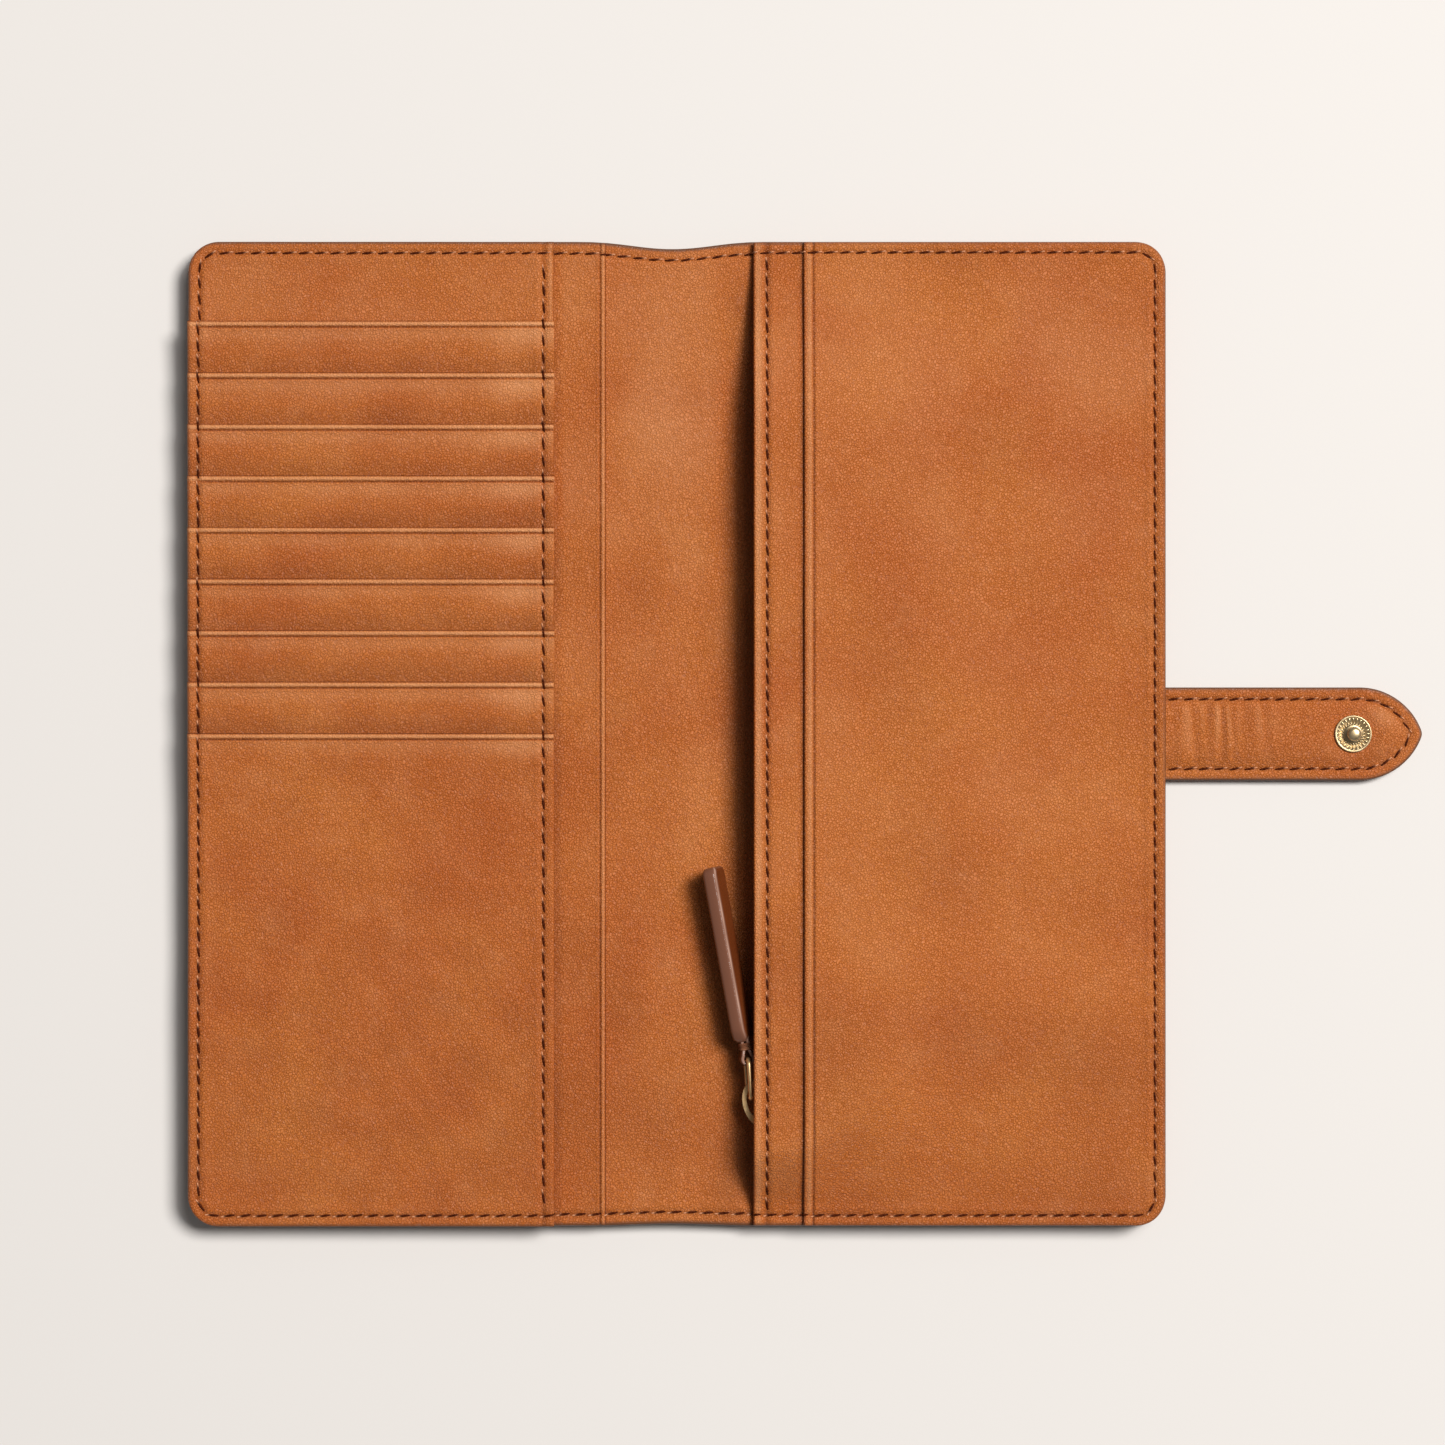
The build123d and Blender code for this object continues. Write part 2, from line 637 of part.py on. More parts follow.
def ogive_stitches():
    """Stitches beside both curved sides of the strap's tip."""
    big_r = ogive_radius(STRAP_WIDTH / 2, NOSE_R)
    seam_r = big_r - STRAP_SEAM_INSET
    centre_y = STRAP_WIDTH / 2 - big_r
    stitches = []
    for i in range(STRAP_OGIVE_STITCHES):
        turn = (i + 0.5) * STRAP_SEAM_PITCH / seam_r
        x = OGIVE_START_X + seam_r * sin(turn)
        y = centre_y + seam_r * cos(turn)
        stitches += [stitch_on(strap_top, x, side * y, -side * turn) for side in (-1, 1)]
    return stitches


def strap_stitches():
    """Edge stitching of the strap, split at its second bend."""
    seam_y = STRAP_WIDTH / 2 - STRAP_SEAM_INSET
    mid, tip = [], []
    for y in (-seam_y, seam_y):
        mid += straight_seam(strap_top, (STRAP_FOLD_X, y), (STRAP_FOLD2_X, y), STRAP_SEAM_PITCH)
        tip += straight_seam(strap_top, (STRAP_FOLD2_X, y), (OGIVE_START_X, y), STRAP_SEAM_PITCH)
    return mid, tip + ogive_stitches()


def strap_anchor():
    """Stitches on the outer face of the strap's root."""
    under = -STRAP_T - STITCH_HEIGHT - 4 * GAP
    seam_y = STRAP_WIDTH / 2 - STRAP_SEAM_INSET
    first = STRAP_ROOT_X + STRAP_SEAM_INSET
    last = STRAP_FOLD_X - MARGIN
    bars = []
    for y in (-seam_y, seam_y):
        bars += straight_seam(strap_top, (first, y), (last, y), STRAP_SEAM_PITCH)
    cross_x = first - ANCHOR_GAP
    bars += straight_seam(strap_top, (cross_x, -ANCHOR_HALF), (cross_x, ANCHOR_HALF), STRAP_SEAM_PITCH)
    return [Pos(0, 0, under) * bar for bar in bars]


def revolved(profile):
    """A solid of revolution about Z from (radius, height) points."""
    return revolve(make_face(Polyline(*[(r, 0, z) for r, z in profile], close=True)), Axis.Z)


def snap_stud():
    """Male half of the snap: a dished flange with a waisted head."""
    post_top = STUD_NECK_TOP + POST_CLEAR
    profile = [
        (POST_R + GAP, GAP), (STUD_R, GAP), (STUD_R, STUD_FLANGE_T),
        (STUD_R - STUD_RIM, STUD_FLANGE_T), (STUD_DISH_R, STUD_DISH_Z), (STUD_HEAD_R, STUD_RIM),
        (STUD_NECK_R, STUD_NECK_TOP), (STUD_HEAD_R, STUD_NECK_TOP + STUD_HEAD_BEVEL),
        (STUD_HEAD_R, STUD_TOP - STUD_DOME_H), (STUD_NECK_R, STUD_TOP - STUD_CROWN_H),
        (STUD_CROWN_R, STUD_TOP),
        (0, STUD_TOP), (0, post_top), (POST_R + GAP, post_top),
    ]
    return Pos(STUD_X, 0, 0) * revolved(profile)


def snap_cap():
    """Domed cap on the outside of the strap, whose post holds the stud."""
    under = -STRAP_T - GAP
    profile = [
        (0, STUD_NECK_TOP), (POST_R, STUD_NECK_TOP), (POST_R, under), (CAP_R, under),
        (CAP_R, under - CAP_EDGE_T), (CAP_R - CAP_SHOULDER, under - CAP_SHOULDER),
        (CAP_R / 2, under - CAP_T + CAP_CROWN_DROP), (0, under - CAP_T),
    ]
    return Pos(STUD_X, 0, 0) * revolved(profile)


def snap_socket():
    """Female half of the snap, on the outer face of the front cover, mouth down."""
    lip_z = SOCKET_LIP_T - SOCKET_T
    ceiling_z = lip_z + SOCKET_EDGE_T
    profile = [
        (SOCKET_POST_R + GAP, -GAP), (SOCKET_R, -GAP), (SOCKET_R, -SOCKET_EDGE_T),
        (SOCKET_R - SOCKET_SHOULDER, SOCKET_SHOULDER_T - SOCKET_T), (SOCKET_R - 2 * SOCKET_SHOULDER, -SOCKET_T),
        (SOCKET_MOUTH_R, -SOCKET_T), (SOCKET_MOUTH_R, lip_z), (SOCKET_CAVITY_R, lip_z),
        (SOCKET_CAVITY_R, ceiling_z), (SOCKET_POST_R + GAP, ceiling_z),
    ]
    return Pos(SOCKET_X, 0, 0) * revolved(profile)


def snap_spring():
    """Wire ring that grips the stud's waist."""
    z = SOCKET_LIP_T - SOCKET_T + SPRING_WIRE_R + SPRING_CLEAR
    return Pos(SOCKET_X, 0, z) * Torus(SPRING_R, SPRING_WIRE_R)


def snap_socket_cap():
    """Eyelet that clamps the socket through the cover, its flange beside the board."""
    z0 = COVER_T - BOARD_RECESS + GAP
    low_z = -3 * GAP
    profile = [
        (EYELET_BORE_R, low_z), (SOCKET_POST_R, low_z), (SOCKET_POST_R, z0), (CAP_R, z0),
        (CAP_R, z0 + EYELET_T), (EYELET_BORE_R, z0 + EYELET_T),
    ]
    return Pos(SOCKET_X, 0, 0) * revolved(profile)


def front_half(seams):
    """Everything that turns with the half of the wallet that holds the cards."""
    fold = -FOLD_X - FOLD_CLEAR
    post_hole = cylinder(SOCKET_POST_R + GAP, -MARGIN, COVER_T + MARGIN, x=SOCKET_X)
    cap_room = cylinder(CAP_R + EYELET_ROOM, 0, COVER_T, x=SOCKET_X)
    seam_x = CARD_EDGE_X - CARD_SEAM_INSET
    first = (seam_x, -HALF_H + 2 * EDGE_SEAM_INSET)
    last = (seam_x, HALF_H - 2 * EDGE_SEAM_INSET)
    nodes = {
        "front_cover": cover_half(-HALF_W, fold) - post_hole,
        "front_stiffener": board(-HALF_W, fold) - cap_room,
        "front_lining": sheet(-HALF_W, fold, LINING_Z, LINING_T),
        "bill_pocket_panel": sheet(-HALF_W, BILL_EDGE_X, BILL_Z, PANEL_T),
        "card_panel_back": sheet(-HALF_W, CARD_EDGE_X, CARD_BACK_Z, CARD_BACK_T),
        "card_slot_linings": card_slot_linings(),
        "card_pocket_front": card_pocket_front(),
        "front_edge_stitches": seams["front"],
        "card_panel_stitches": straight_seam(surface_z, first, last, SLOT_SEAM_PITCH),
        "snap_socket": snap_socket(),
        "snap_spring": snap_spring(),
        "snap_socket_cap": snap_socket_cap(),
    }
    for index in range(SLOT_COUNT):
        nodes[f"card_slot_{index + 1}"] = card_slot(index)
    return nodes


def spine(seams):
    """The strip of cover and lining between the two fold lines."""
    left = -FOLD_X + FOLD_CLEAR
    right = FOLD_X - FOLD_CLEAR
    return {
        "spine_cover": sheet(left, right, 0, COVER_T),
        "spine_lining": sheet(left, right, LINING_Z, LINING_T),
        "spine_stitches": seams["spine"],
    }


def back_half(seams):
    """Everything fixed to the half of the wallet that holds the zip pocket and the strap."""
    fold = FOLD_X + FOLD_CLEAR
    joined_stop, open_stops = zip_stops()
    seam_end = HALF_H - 2 * EDGE_SEAM_INSET
    return {
        "back_cover": cover_half(fold, HALF_W),
        "back_stiffener": board(fold, HALF_W),
        "back_lining": sheet(fold, HALF_W, LINING_Z, LINING_T),
        "zip_pocket_back_wall": sheet(ZIP_BACK_EDGE_X, HALF_W, ZIP_BACK_Z, ZIP_BACK_T),
        "zip_pocket_front_wall": wedge_wall(WALL_EDGE_X, 0, WALL_T),
        "slip_pocket": wedge_wall(SLIP_EDGE_X, WALL_T + GAP, SLIP_T),
        "zip_tape_lower": zip_tape("lower"),
        "zip_tape_upper": zip_tape("upper"),
        "zip_teeth_lower": zip_teeth("lower"),
        "zip_teeth_upper": zip_teeth("upper"),
        "zip_bottom_stop": joined_stop,
        "zip_top_stops": open_stops,
        "back_edge_stitches": seams["back"],
        "zip_seam_stitches": straight_seam(
            surface_z, (ZIP_SEAM_X, -seam_end), (ZIP_SEAM_X, seam_end), STITCH_PITCH
        ),
        "strap_anchor_stitches": strap_anchor(),
    }


def strap_and_snap():
    mid, tip = strap_stitches()
    nodes = strap_layers()
    nodes["strap_mid_stitches"] = mid
    nodes["strap_tip_stitches"] = tip
    nodes["snap_stud"] = snap_stud()
    nodes["snap_cap"] = snap_cap()
    return nodes


def zip_pull():
    return {
        "zip_slider": zip_slider(),
        "pull_link": pull_link(),
        "pull_tab": pull_tab(),
        "pull_tab_binding": tab_binding(),
    }


def export(nodes):
    os.makedirs("parts", exist_ok=True)
    for name, shape in nodes.items():
        solids = shape if isinstance(shape, list) else [shape]
        solids = [solid for item in solids for solid in item.solids()]
        whole = solids[0] if len(solids) == 1 else Compound(children=solids)
        export_step(whole, f"parts/{name}.step")


stitch_groups = edge_seam()
export({
    **front_half(stitch_groups),
    **spine(stitch_groups),
    **back_half(stitch_groups),
    **strap_and_snap(),
    **zip_pull(),
})
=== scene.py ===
import json
import math

import bpy
import numpy as np
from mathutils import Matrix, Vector


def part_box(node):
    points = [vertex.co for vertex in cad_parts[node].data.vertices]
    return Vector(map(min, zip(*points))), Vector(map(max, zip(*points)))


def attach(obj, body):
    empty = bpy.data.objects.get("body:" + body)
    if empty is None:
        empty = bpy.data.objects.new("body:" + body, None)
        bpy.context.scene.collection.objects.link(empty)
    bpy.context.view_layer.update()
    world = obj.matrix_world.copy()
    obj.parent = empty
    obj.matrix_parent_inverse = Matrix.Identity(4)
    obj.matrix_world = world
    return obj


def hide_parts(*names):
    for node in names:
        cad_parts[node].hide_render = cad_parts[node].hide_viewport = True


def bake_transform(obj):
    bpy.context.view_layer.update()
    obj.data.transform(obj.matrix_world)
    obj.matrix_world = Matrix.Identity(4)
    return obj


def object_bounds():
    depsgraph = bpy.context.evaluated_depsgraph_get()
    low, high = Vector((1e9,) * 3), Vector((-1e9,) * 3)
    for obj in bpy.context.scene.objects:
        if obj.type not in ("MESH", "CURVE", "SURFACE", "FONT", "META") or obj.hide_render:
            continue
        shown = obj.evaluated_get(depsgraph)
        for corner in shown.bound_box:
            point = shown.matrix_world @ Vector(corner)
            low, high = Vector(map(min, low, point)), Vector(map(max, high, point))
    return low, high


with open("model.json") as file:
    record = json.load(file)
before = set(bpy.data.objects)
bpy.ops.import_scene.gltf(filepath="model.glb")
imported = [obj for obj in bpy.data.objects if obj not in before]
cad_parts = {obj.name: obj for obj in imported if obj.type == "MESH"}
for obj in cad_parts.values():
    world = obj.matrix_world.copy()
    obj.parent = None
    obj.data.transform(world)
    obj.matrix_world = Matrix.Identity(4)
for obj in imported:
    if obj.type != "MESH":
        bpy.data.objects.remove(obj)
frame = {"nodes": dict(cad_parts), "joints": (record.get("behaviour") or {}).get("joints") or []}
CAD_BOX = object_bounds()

MM = 0.001  # lengths below are millimetres, except in the stage, lights and camera

# ------------ places read from the frame


def cad(node):
    """Lowest and highest corner of a CAD node."""
    low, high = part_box(node)
    return np.array(low) / MM, np.array(high) / MM


def joint_named(name):
    return next(j for j in frame["joints"] if j["name"] == name)


def joint_place(name):
    return np.array(joint_named(name)["pos_m"]) / MM


STITCH_BAR_HALF = 0.275  # half the width of the frame's own stitch bars
PANEL_GAP = 0.02         # clearance between leathers that lie on each other
SLOT_COUNT = 8

LEFT = cad("front_cover")[0][0]
RIGHT = cad("back_cover")[1][0]
BOTTOM = cad("front_cover")[0][1]
TOP = cad("front_cover")[1][1]
COVER_TOP = cad("spine_cover")[1][2]
LINING_TOP = cad("spine_lining")[1][2]
BILL_EDGE = cad("bill_pocket_panel")[1][0]
BILL_TOP = cad("bill_pocket_panel")[1][2]
CARD_EDGE = cad("card_slot_1")[1][0]
CARD_BACK_TOP = cad("card_panel_back")[1][2]
SLOT_TOPS = [cad(f"card_slot_{i + 1}")[1][1] for i in range(SLOT_COUNT)] + [cad("card_pocket_front")[1][1]]
SLOT_FOOT_Z = cad("card_slot_1")[0][2]
SLOT_T = 0.6
SLOT_PITCH = SLOT_TOPS[0] - SLOT_TOPS[1]
SLOT_STRIP = cad("card_slot_1")[1][1] - cad("card_slot_1")[0][1]
SLOT_SLOPE = (cad("card_slot_1")[1][2] - SLOT_FOOT_Z - SLOT_T) / SLOT_STRIP
CARD_SEAM = float(np.mean([c[0] for c in cad("card_panel_stitches")]))
EDGE_SEAM = cad("front_edge_stitches")[0][0] + STITCH_BAR_HALF - LEFT
WALL_EDGE = cad("zip_pocket_front_wall")[0][0]
WALL_T = 1.0
SLIP_EDGE = cad("slip_pocket")[0][0]
SLIP_T = 0.8
ZIP_SEAM = float(np.mean([c[0] for c in cad("zip_seam_stitches")]))
RIM_Z = cad("zip_pocket_back_wall")[1][2] + PANEL_GAP
MOUTH_Z = cad("zip_pocket_front_wall")[1][2] - WALL_T
FOLD_X = joint_place("cover_fold")[0]
FOLD_Z = joint_place("cover_fold")[2]
STRAP_FOLD_1 = joint_place("strap_wrap")
STRAP_FOLD_2 = joint_place("strap_tip_fold")
STUD = (cad("snap_stud")[0] + cad("snap_stud")[1]) / 2
FLOOR_Z = float(CAD_BOX[0][2]) / MM

CORNER_R = 6.0
SCALLOP = (-13.0, 14.5)   # where the spine's ends are drawn in, and by how much
SCALLOP_TOP = 1.4
SCALLOP_BOTTOM = 0.4
SCALLOP_REACH = 12.0
WALL_RIM_X = 90.0         # the raised wall slopes from its mouth down to here
RAMP_END = 91.8           # and ramps down along y between these places
RAMP_START_LOW = 79.5
RAMP_START_HIGH = 59.0
LIP = 0.6                 # middle of the puffy lip behind a folded edge
LIP_CREASE = 1.15         # and the pressed line that ends it
SLOT_LIP = 0.62           # the same on the card slots
SLOT_CREASE = 1.2
SLIP_LIP = 1.0            # and on the slip pocket
SLIP_CREASE = 1.9
STITCH_PITCH = 3.07
CARD_PITCH = 3.3
STRAP_PITCH = 2.9
THREAD_R = 0.225
PAINT_WIDTH = 0.55        # painted band along the outer edge
FOLD_REACH = 4.2          # the leather bends over this much on both sides of a fold line
STRAP_REACH = 3.0
RIM_TURNS = (0, 20, 40, 60, 78, 90)
ROW_GAP = 0.12            # least distance from a rim's rows to the grid's
CORNER_STEP = 0.5
THINNEST = 0.05

# ------------ small numeric helpers


def ring_turns(count):
    """Evenly spaced angles round a full turn."""
    return np.arange(count) * math.tau / count


def unit(vectors):
    """Vectors of length 1, one or a row of them."""
    return vectors / np.linalg.norm(vectors, axis=-1, keepdims=True)


def smooth(t):
    """A soft step from 0 at 0 to 1 at 1."""
    t = np.clip(t, 0.0, 1.0)
    return t * t * (3 - 2 * t)


def bell(distance, width):
    """A soft bump, 1 in the middle."""
    return np.exp(-((distance / width) ** 2))


def ripples(x, y, wavelength, seed, waves=7):
    """A smooth random field of about -1 to 1, the same on each run."""
    rng = np.random.default_rng(seed)
    field = np.zeros(np.broadcast(x, y).shape)
    for _ in range(waves):
        angle = rng.uniform(0, math.tau)
        k = math.tau / (wavelength * rng.uniform(0.7, 1.6))
        phase = rng.uniform(0, math.tau)
        field += np.sin(k * (x * math.cos(angle) + y * math.sin(angle)) + phase)
    return field / math.sqrt(waves)


def lines(low, high, step, fine=()):
    """Positions from low to high, closer together inside each fine band (centre, half width, step)."""
    marks = [low]
    while marks[-1] < high - 1e-6:
        here = marks[-1]
        stride = step
        for centre, half, fine_step in fine:
            if centre - half - 1e-9 <= here < centre + half:
                stride = min(stride, fine_step)
            elif here < centre - half:
                stride = min(stride, max(centre - half - here, fine_step))
        marks.append(min(here + stride, high))
    return np.array(marks)


def rim_steps(rim):
    """Distances inwards at which a rounded rim needs a row of points."""
    return [rim * (1 - math.cos(math.radians(a))) for a in RIM_TURNS]


def rim_drop(inwards, rim):
    """How far a rounded rim lies below its face, at a distance inwards from the edge."""
    return rim - np.sqrt(np.maximum(0, rim ** 2 - (rim - np.minimum(inwards, rim)) ** 2))


# ------------ mesh helpers


def mesh_object(name, points, faces, attributes, material):
    """A smooth mesh piece, with named per-point attributes."""
    mesh = bpy.data.meshes.new(name)
    mesh.from_pydata((np.asarray(points, float) * MM).tolist(), [], faces)
    mesh.validate()
    mesh.update()
    for key, values in attributes.items():
        values = np.asarray(values, np.float32)
        kind, field = ("FLOAT_VECTOR", "vector") if values.ndim == 2 else ("FLOAT", "value")
        layer = mesh.attributes.new(key, kind, "POINT")
        layer.data.foreach_set(field, values.ravel())
    mesh.polygons.foreach_set("use_smooth", np.ones(len(mesh.polygons), bool))
    piece = bpy.data.objects.new(name, mesh)
    bpy.context.scene.collection.objects.link(piece)
    mesh.materials.append(material)
    return piece


def hand_over(piece, mount, nodes):
    """Mounts a finished piece, and hides the CAD nodes that it stands for."""
    mount(piece)
    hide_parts(*nodes)


def riding(body):
    return lambda piece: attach(piece, body)


def bending(first_body, second_body, x, z, reach):
    """Bakes the piece's place into its mesh and leaves it unbent; the two bodies, x, z and reach are not
    used.
    """
    return lambda piece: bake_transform(piece)


def folding(half_body, side):
    """The fold line between one half and the spine."""
    return bending(half_body, "spine", side * FOLD_X, FOLD_Z, -side * FOLD_REACH)


def scallop_shift(x, y):
    """How far the spine's top and bottom edges are drawn in at this place."""
    across = (x - SCALLOP[0]) / (SCALLOP[1] - SCALLOP[0])
    wave = 0.5 - 0.5 * np.cos(math.tau * (across + 0.22) / 1.32)
    dip = np.where((across > -0.22) & (across < 1.1), wave, 0) ** 1.2
    near_top = smooth(1 - (TOP - y) / SCALLOP_REACH)
    near_bottom = smooth(1 - (y - BOTTOM) / SCALLOP_REACH)
    return dip * (SCALLOP_BOTTOM * near_bottom - SCALLOP_TOP * near_top)


def round_corners(x, y, span, corners, radius):
    """Bends a rectangular grid so that its named corners become quarter circles."""
    x0, x1, y0, y1 = span
    for corner in corners:
        sx, cx = (-1, x0 + radius) if "w" in corner else (1, x1 - radius)
        sy, cy = (-1, y0 + radius) if "s" in corner else (1, y1 - radius)
        u = (x - cx) * sx / radius
        v = (y - cy) * sy / radius
        inside = (u > 0) & (v > 0)
        x = np.where(inside, cx + sx * radius * u * np.sqrt(np.maximum(0, 1 - v * v / 2)), x)
        y = np.where(inside, cy + sy * radius * v * np.sqrt(np.maximum(0, 1 - u * u / 2)), y)
    return x, y


def edge_distance(x, y, span, corners, radius, open_sides=""):
    """Distance inwards from the nearest real edge of a sheet."""
    x0, x1, y0, y1 = span
    away = {"w": x - x0, "e": x1 - x, "s": y - y0, "n": y1 - y}
    for side in open_sides:
        away[side] = np.full(x.shape, 1e3)
    distance = np.minimum.reduce(list(away.values()))
    for corner in corners:
        dy, dx = (radius - away[side] for side in corner)
        distance = np.where((dx > 0) & (dy > 0), radius - np.hypot(dx, dy), distance)
    return np.maximum(distance, 0)


def outline_distance(x, y):
    """Distance in from the wallet's own outline."""
    return edge_distance(x, y, (LEFT, RIGHT, BOTTOM, TOP), ("nw", "ne", "sw", "se"), CORNER_R)


def leather_slab(name, place, heights, tint, paint, material, open_sides):
    """A closed slab between an upper and a lower height grid, with the marks that leather reads."""
    x, y = place
    points = np.concatenate([np.stack([x, y, z], -1).reshape(-1, 3) for z in heights])
    half = x.size
    index = np.arange(half).reshape(x.shape)
    a, b, c, e = index[:-1, :-1], index[1:, :-1], index[1:, 1:], index[:-1, 1:]
    upper = np.stack([a, b, c, e], -1).reshape(-1, 4)
    lower = np.stack([e, c, b, a], -1).reshape(-1, 4) + half
    ring = np.concatenate([index[:, 0], index[-1, 1:], index[-2::-1, -1], index[0, -2:0:-1]])
    after = np.roll(ring, -1)
    wall = np.stack([ring, ring + half, after + half, after], -1)
    attributes = {
        "rest": points,
        "tone": np.concatenate([tint.ravel(), tint.ravel() * 0]),
        "paint": np.tile(paint.ravel(), 2),
    }
    piece = mesh_object(name, points, np.concatenate([upper, lower, wall]).tolist(), attributes, material)
    if open_sides:
        harden_open_sides(piece, index, open_sides)
    return piece


def harden_open_sides(piece, index, open_sides):
    """Marks the cut line of a slab sharp, so that two slabs that meet there shade as one."""
    rows = {"w": index[0], "e": index[-1], "s": index[:, 0], "n": index[:, -1]}
    half = index.size
    cut = np.concatenate([rows[side] + level for side in open_sides for level in (0, half)])
    mesh = piece.data
    sharp = mesh.attributes.get("sharp_edge") or mesh.attributes.new("sharp_edge", "BOOLEAN", "EDGE")
    keys = np.zeros(len(mesh.edges) * 2, int)
    mesh.edges.foreach_get("vertices", keys)
    keys = keys.reshape(-1, 2)
    sharp.data.foreach_set("value", np.isin(keys, cut).all(1) & ((keys[:, 0] < half) == (keys[:, 1] < half)))


def sheet_lines(low, high, rim, step, fine, low_open, high_open):
    """Grid positions across a sheet, with rows of their own on each rounded rim."""
    start = [low] if low_open else [low + t for t in rim_steps(rim)]
    end = [high] if high_open else [high - t for t in rim_steps(rim)]
    marks = lines(low, high, step, fine)
    marks = marks[(marks > max(start) + ROW_GAP) & (marks < min(end) - ROW_GAP)]
    return np.array(sorted(set(start) | set(marks.tolist()) | set(end)))


def sheet(name, span, top, thickness, tone, corners=(), material=None, radius=CORNER_R, rim=0.3, step=2.5,
          fine_x=(), fine_y=(), open_sides="", scalloped=True, under=None):
    """A closed leather sheet: a top height function, rounded painted rims and an underside that follows."""
    x0, x1, y0, y1 = span
    fine_x = list(fine_x) + [(x0 if "w" in corner else x1, radius, CORNER_STEP) for corner in corners]
    fine_y = list(fine_y) + [(y0 if "s" in corner else y1, radius, CORNER_STEP) for corner in corners]
    xs = sheet_lines(x0, x1, rim, step, fine_x, "w" in open_sides, "e" in open_sides)
    ys = sheet_lines(y0, y1, rim, step, fine_y, "s" in open_sides, "n" in open_sides)
    x, y = round_corners(*np.meshgrid(xs, ys, indexing="ij"), span, corners, radius)
    inwards = edge_distance(x, y, span, corners, radius, open_sides)
    height = top(x, y)
    z_top = height - rim_drop(inwards, rim)
    z_low = under(x, y) if under else height - thickness
    z_low = np.minimum(z_low + rim_drop(inwards, min(rim, thickness * 0.45)), z_top - THINNEST)
    paint = smooth(1.3 - (outline_distance(x, y) - np.minimum(inwards, rim)) / PAINT_WIDTH)
    place = (x, y + scallop_shift(x, y)) if scalloped else (x, y)
    return leather_slab(name, place, (z_top, z_low), tone(x, y), paint, material or LEATHER, open_sides)


def loop_faces(rows, columns):
    """Faces of a closed tube of rows, each a ring of columns points, with both ends capped."""
    index = np.arange(rows * columns).reshape(rows, columns)
    across = np.roll(index, -1, 1)
    sides = np.stack([index[:-1], across[:-1], across[1:], index[1:]], -1).reshape(-1, 4)
    return sides.tolist() + [index[0, ::-1].tolist(), index[-1].tolist()]


def tube(path, radius, sides, up=(0, 0, 1)):
    """Points and faces of a round tube along a list of points; the radius may differ along it."""
    path = [Vector(p) for p in path]
    up = Vector(up)
    points = []
    for i, (p, r) in enumerate(zip(path, np.broadcast_to(radius, len(path)))):
        along = (path[min(i + 1, len(path) - 1)] - path[max(i - 1, 0)]).normalized()
        side = along.cross(up).normalized()
        normal = side.cross(along).normalized()
        for k in range(sides):
            turn = math.tau * k / sides
            points.append(tuple(p + side * (r * math.cos(turn)) + normal * (r * math.sin(turn))))
    return np.array(points), loop_faces(len(path), sides)


def join_meshes(parts):
    """One set of points, faces and per-point marks from several."""
    points, faces, marks = [], [], {}
    for more, quads, extra in parts:
        base = len(points)
        points += np.asarray(more).tolist()
        faces += [tuple(base + i for i in face) for face in quads]
        for key, values in extra.items():
            marks.setdefault(key, []).extend(np.asarray(values).tolist())
    return np.array(points), faces, marks


# ------------ materials


class Nodes:
    """A short way to write a node tree."""

    def __init__(self, name):
        self.material = bpy.data.materials.new(name)
        self.material.use_nodes = True
        self.tree = self.material.node_tree

    def add(self, kind, **settings):
        node = self.tree.nodes.new("ShaderNode" + kind)
        for key, value in settings.items():
            if hasattr(node, key):
                setattr(node, key, value)
            else:
                self.feed(node.inputs[key.replace("_", " ")], value)
        return node

    def feed(self, socket, value):
        """Gives a socket a plain value, or links another node's output to it."""
        if isinstance(value, (int, float, tuple)):
            socket.default_value = value
        else:
            self.tree.links.new(value, socket)

    def attribute(self, name, output="Fac"):
        return self.add("Attribute", attribute_name=name).outputs[output]

    def math(self, operation, a, b=0.0, clamp=False):
        node = self.add("Math", operation=operation, use_clamp=clamp)
        self.feed(node.inputs[0], a)
        self.feed(node.inputs[1], b)
        return node.outputs[0]

    def times(self, a, b, clamp=False):
        return self.math("MULTIPLY", a, b, clamp)

    def mix(self, factor, a, b):
        node = self.add("Mix", data_type="RGBA")
        for index, value in ((0, factor), (6, a), (7, b)):
            self.feed(node.inputs[index], value)
        return node.outputs[2]

    def noise(self, where, scale, detail=3.0, roughness=0.55, distortion=0.0):
        return self.add("TexNoise", Vector=where, Scale=scale, Detail=detail, Roughness=roughness,
                        Distortion=distortion).outputs["Fac"]

    def ramp(self, value, low, high):
        return self.add("MapRange", Value=value, From_Min=low, From_Max=high).outputs["Result"]

    def finish(self, colour, rough, relief=None, strength=0.5, depth=0.1, **plain):
        """Feeds the shader: relief is a bump of this strength and depth."""
        shader = self.tree.nodes["Principled BSDF"]
        for name, value in dict(Base_Color=colour, Roughness=rough, **plain).items():
            self.feed(shader.inputs[name.replace("_", " ")], value)
        if relief:
            bump = self.add("Bump", Height=relief, Strength=strength, Distance=depth * MM)
            self.feed(shader.inputs["Normal"], bump.outputs["Normal"])
        return self.material


def rgb(r, g, b):
    """Linear colour from 0-255 display values."""
    def linear(v):
        v = v / 255
        return v / 12.92 if v <= 0.04045 else ((v + 0.055) / 1.055) ** 2.4
    return (linear(r), linear(g), linear(b), 1.0)


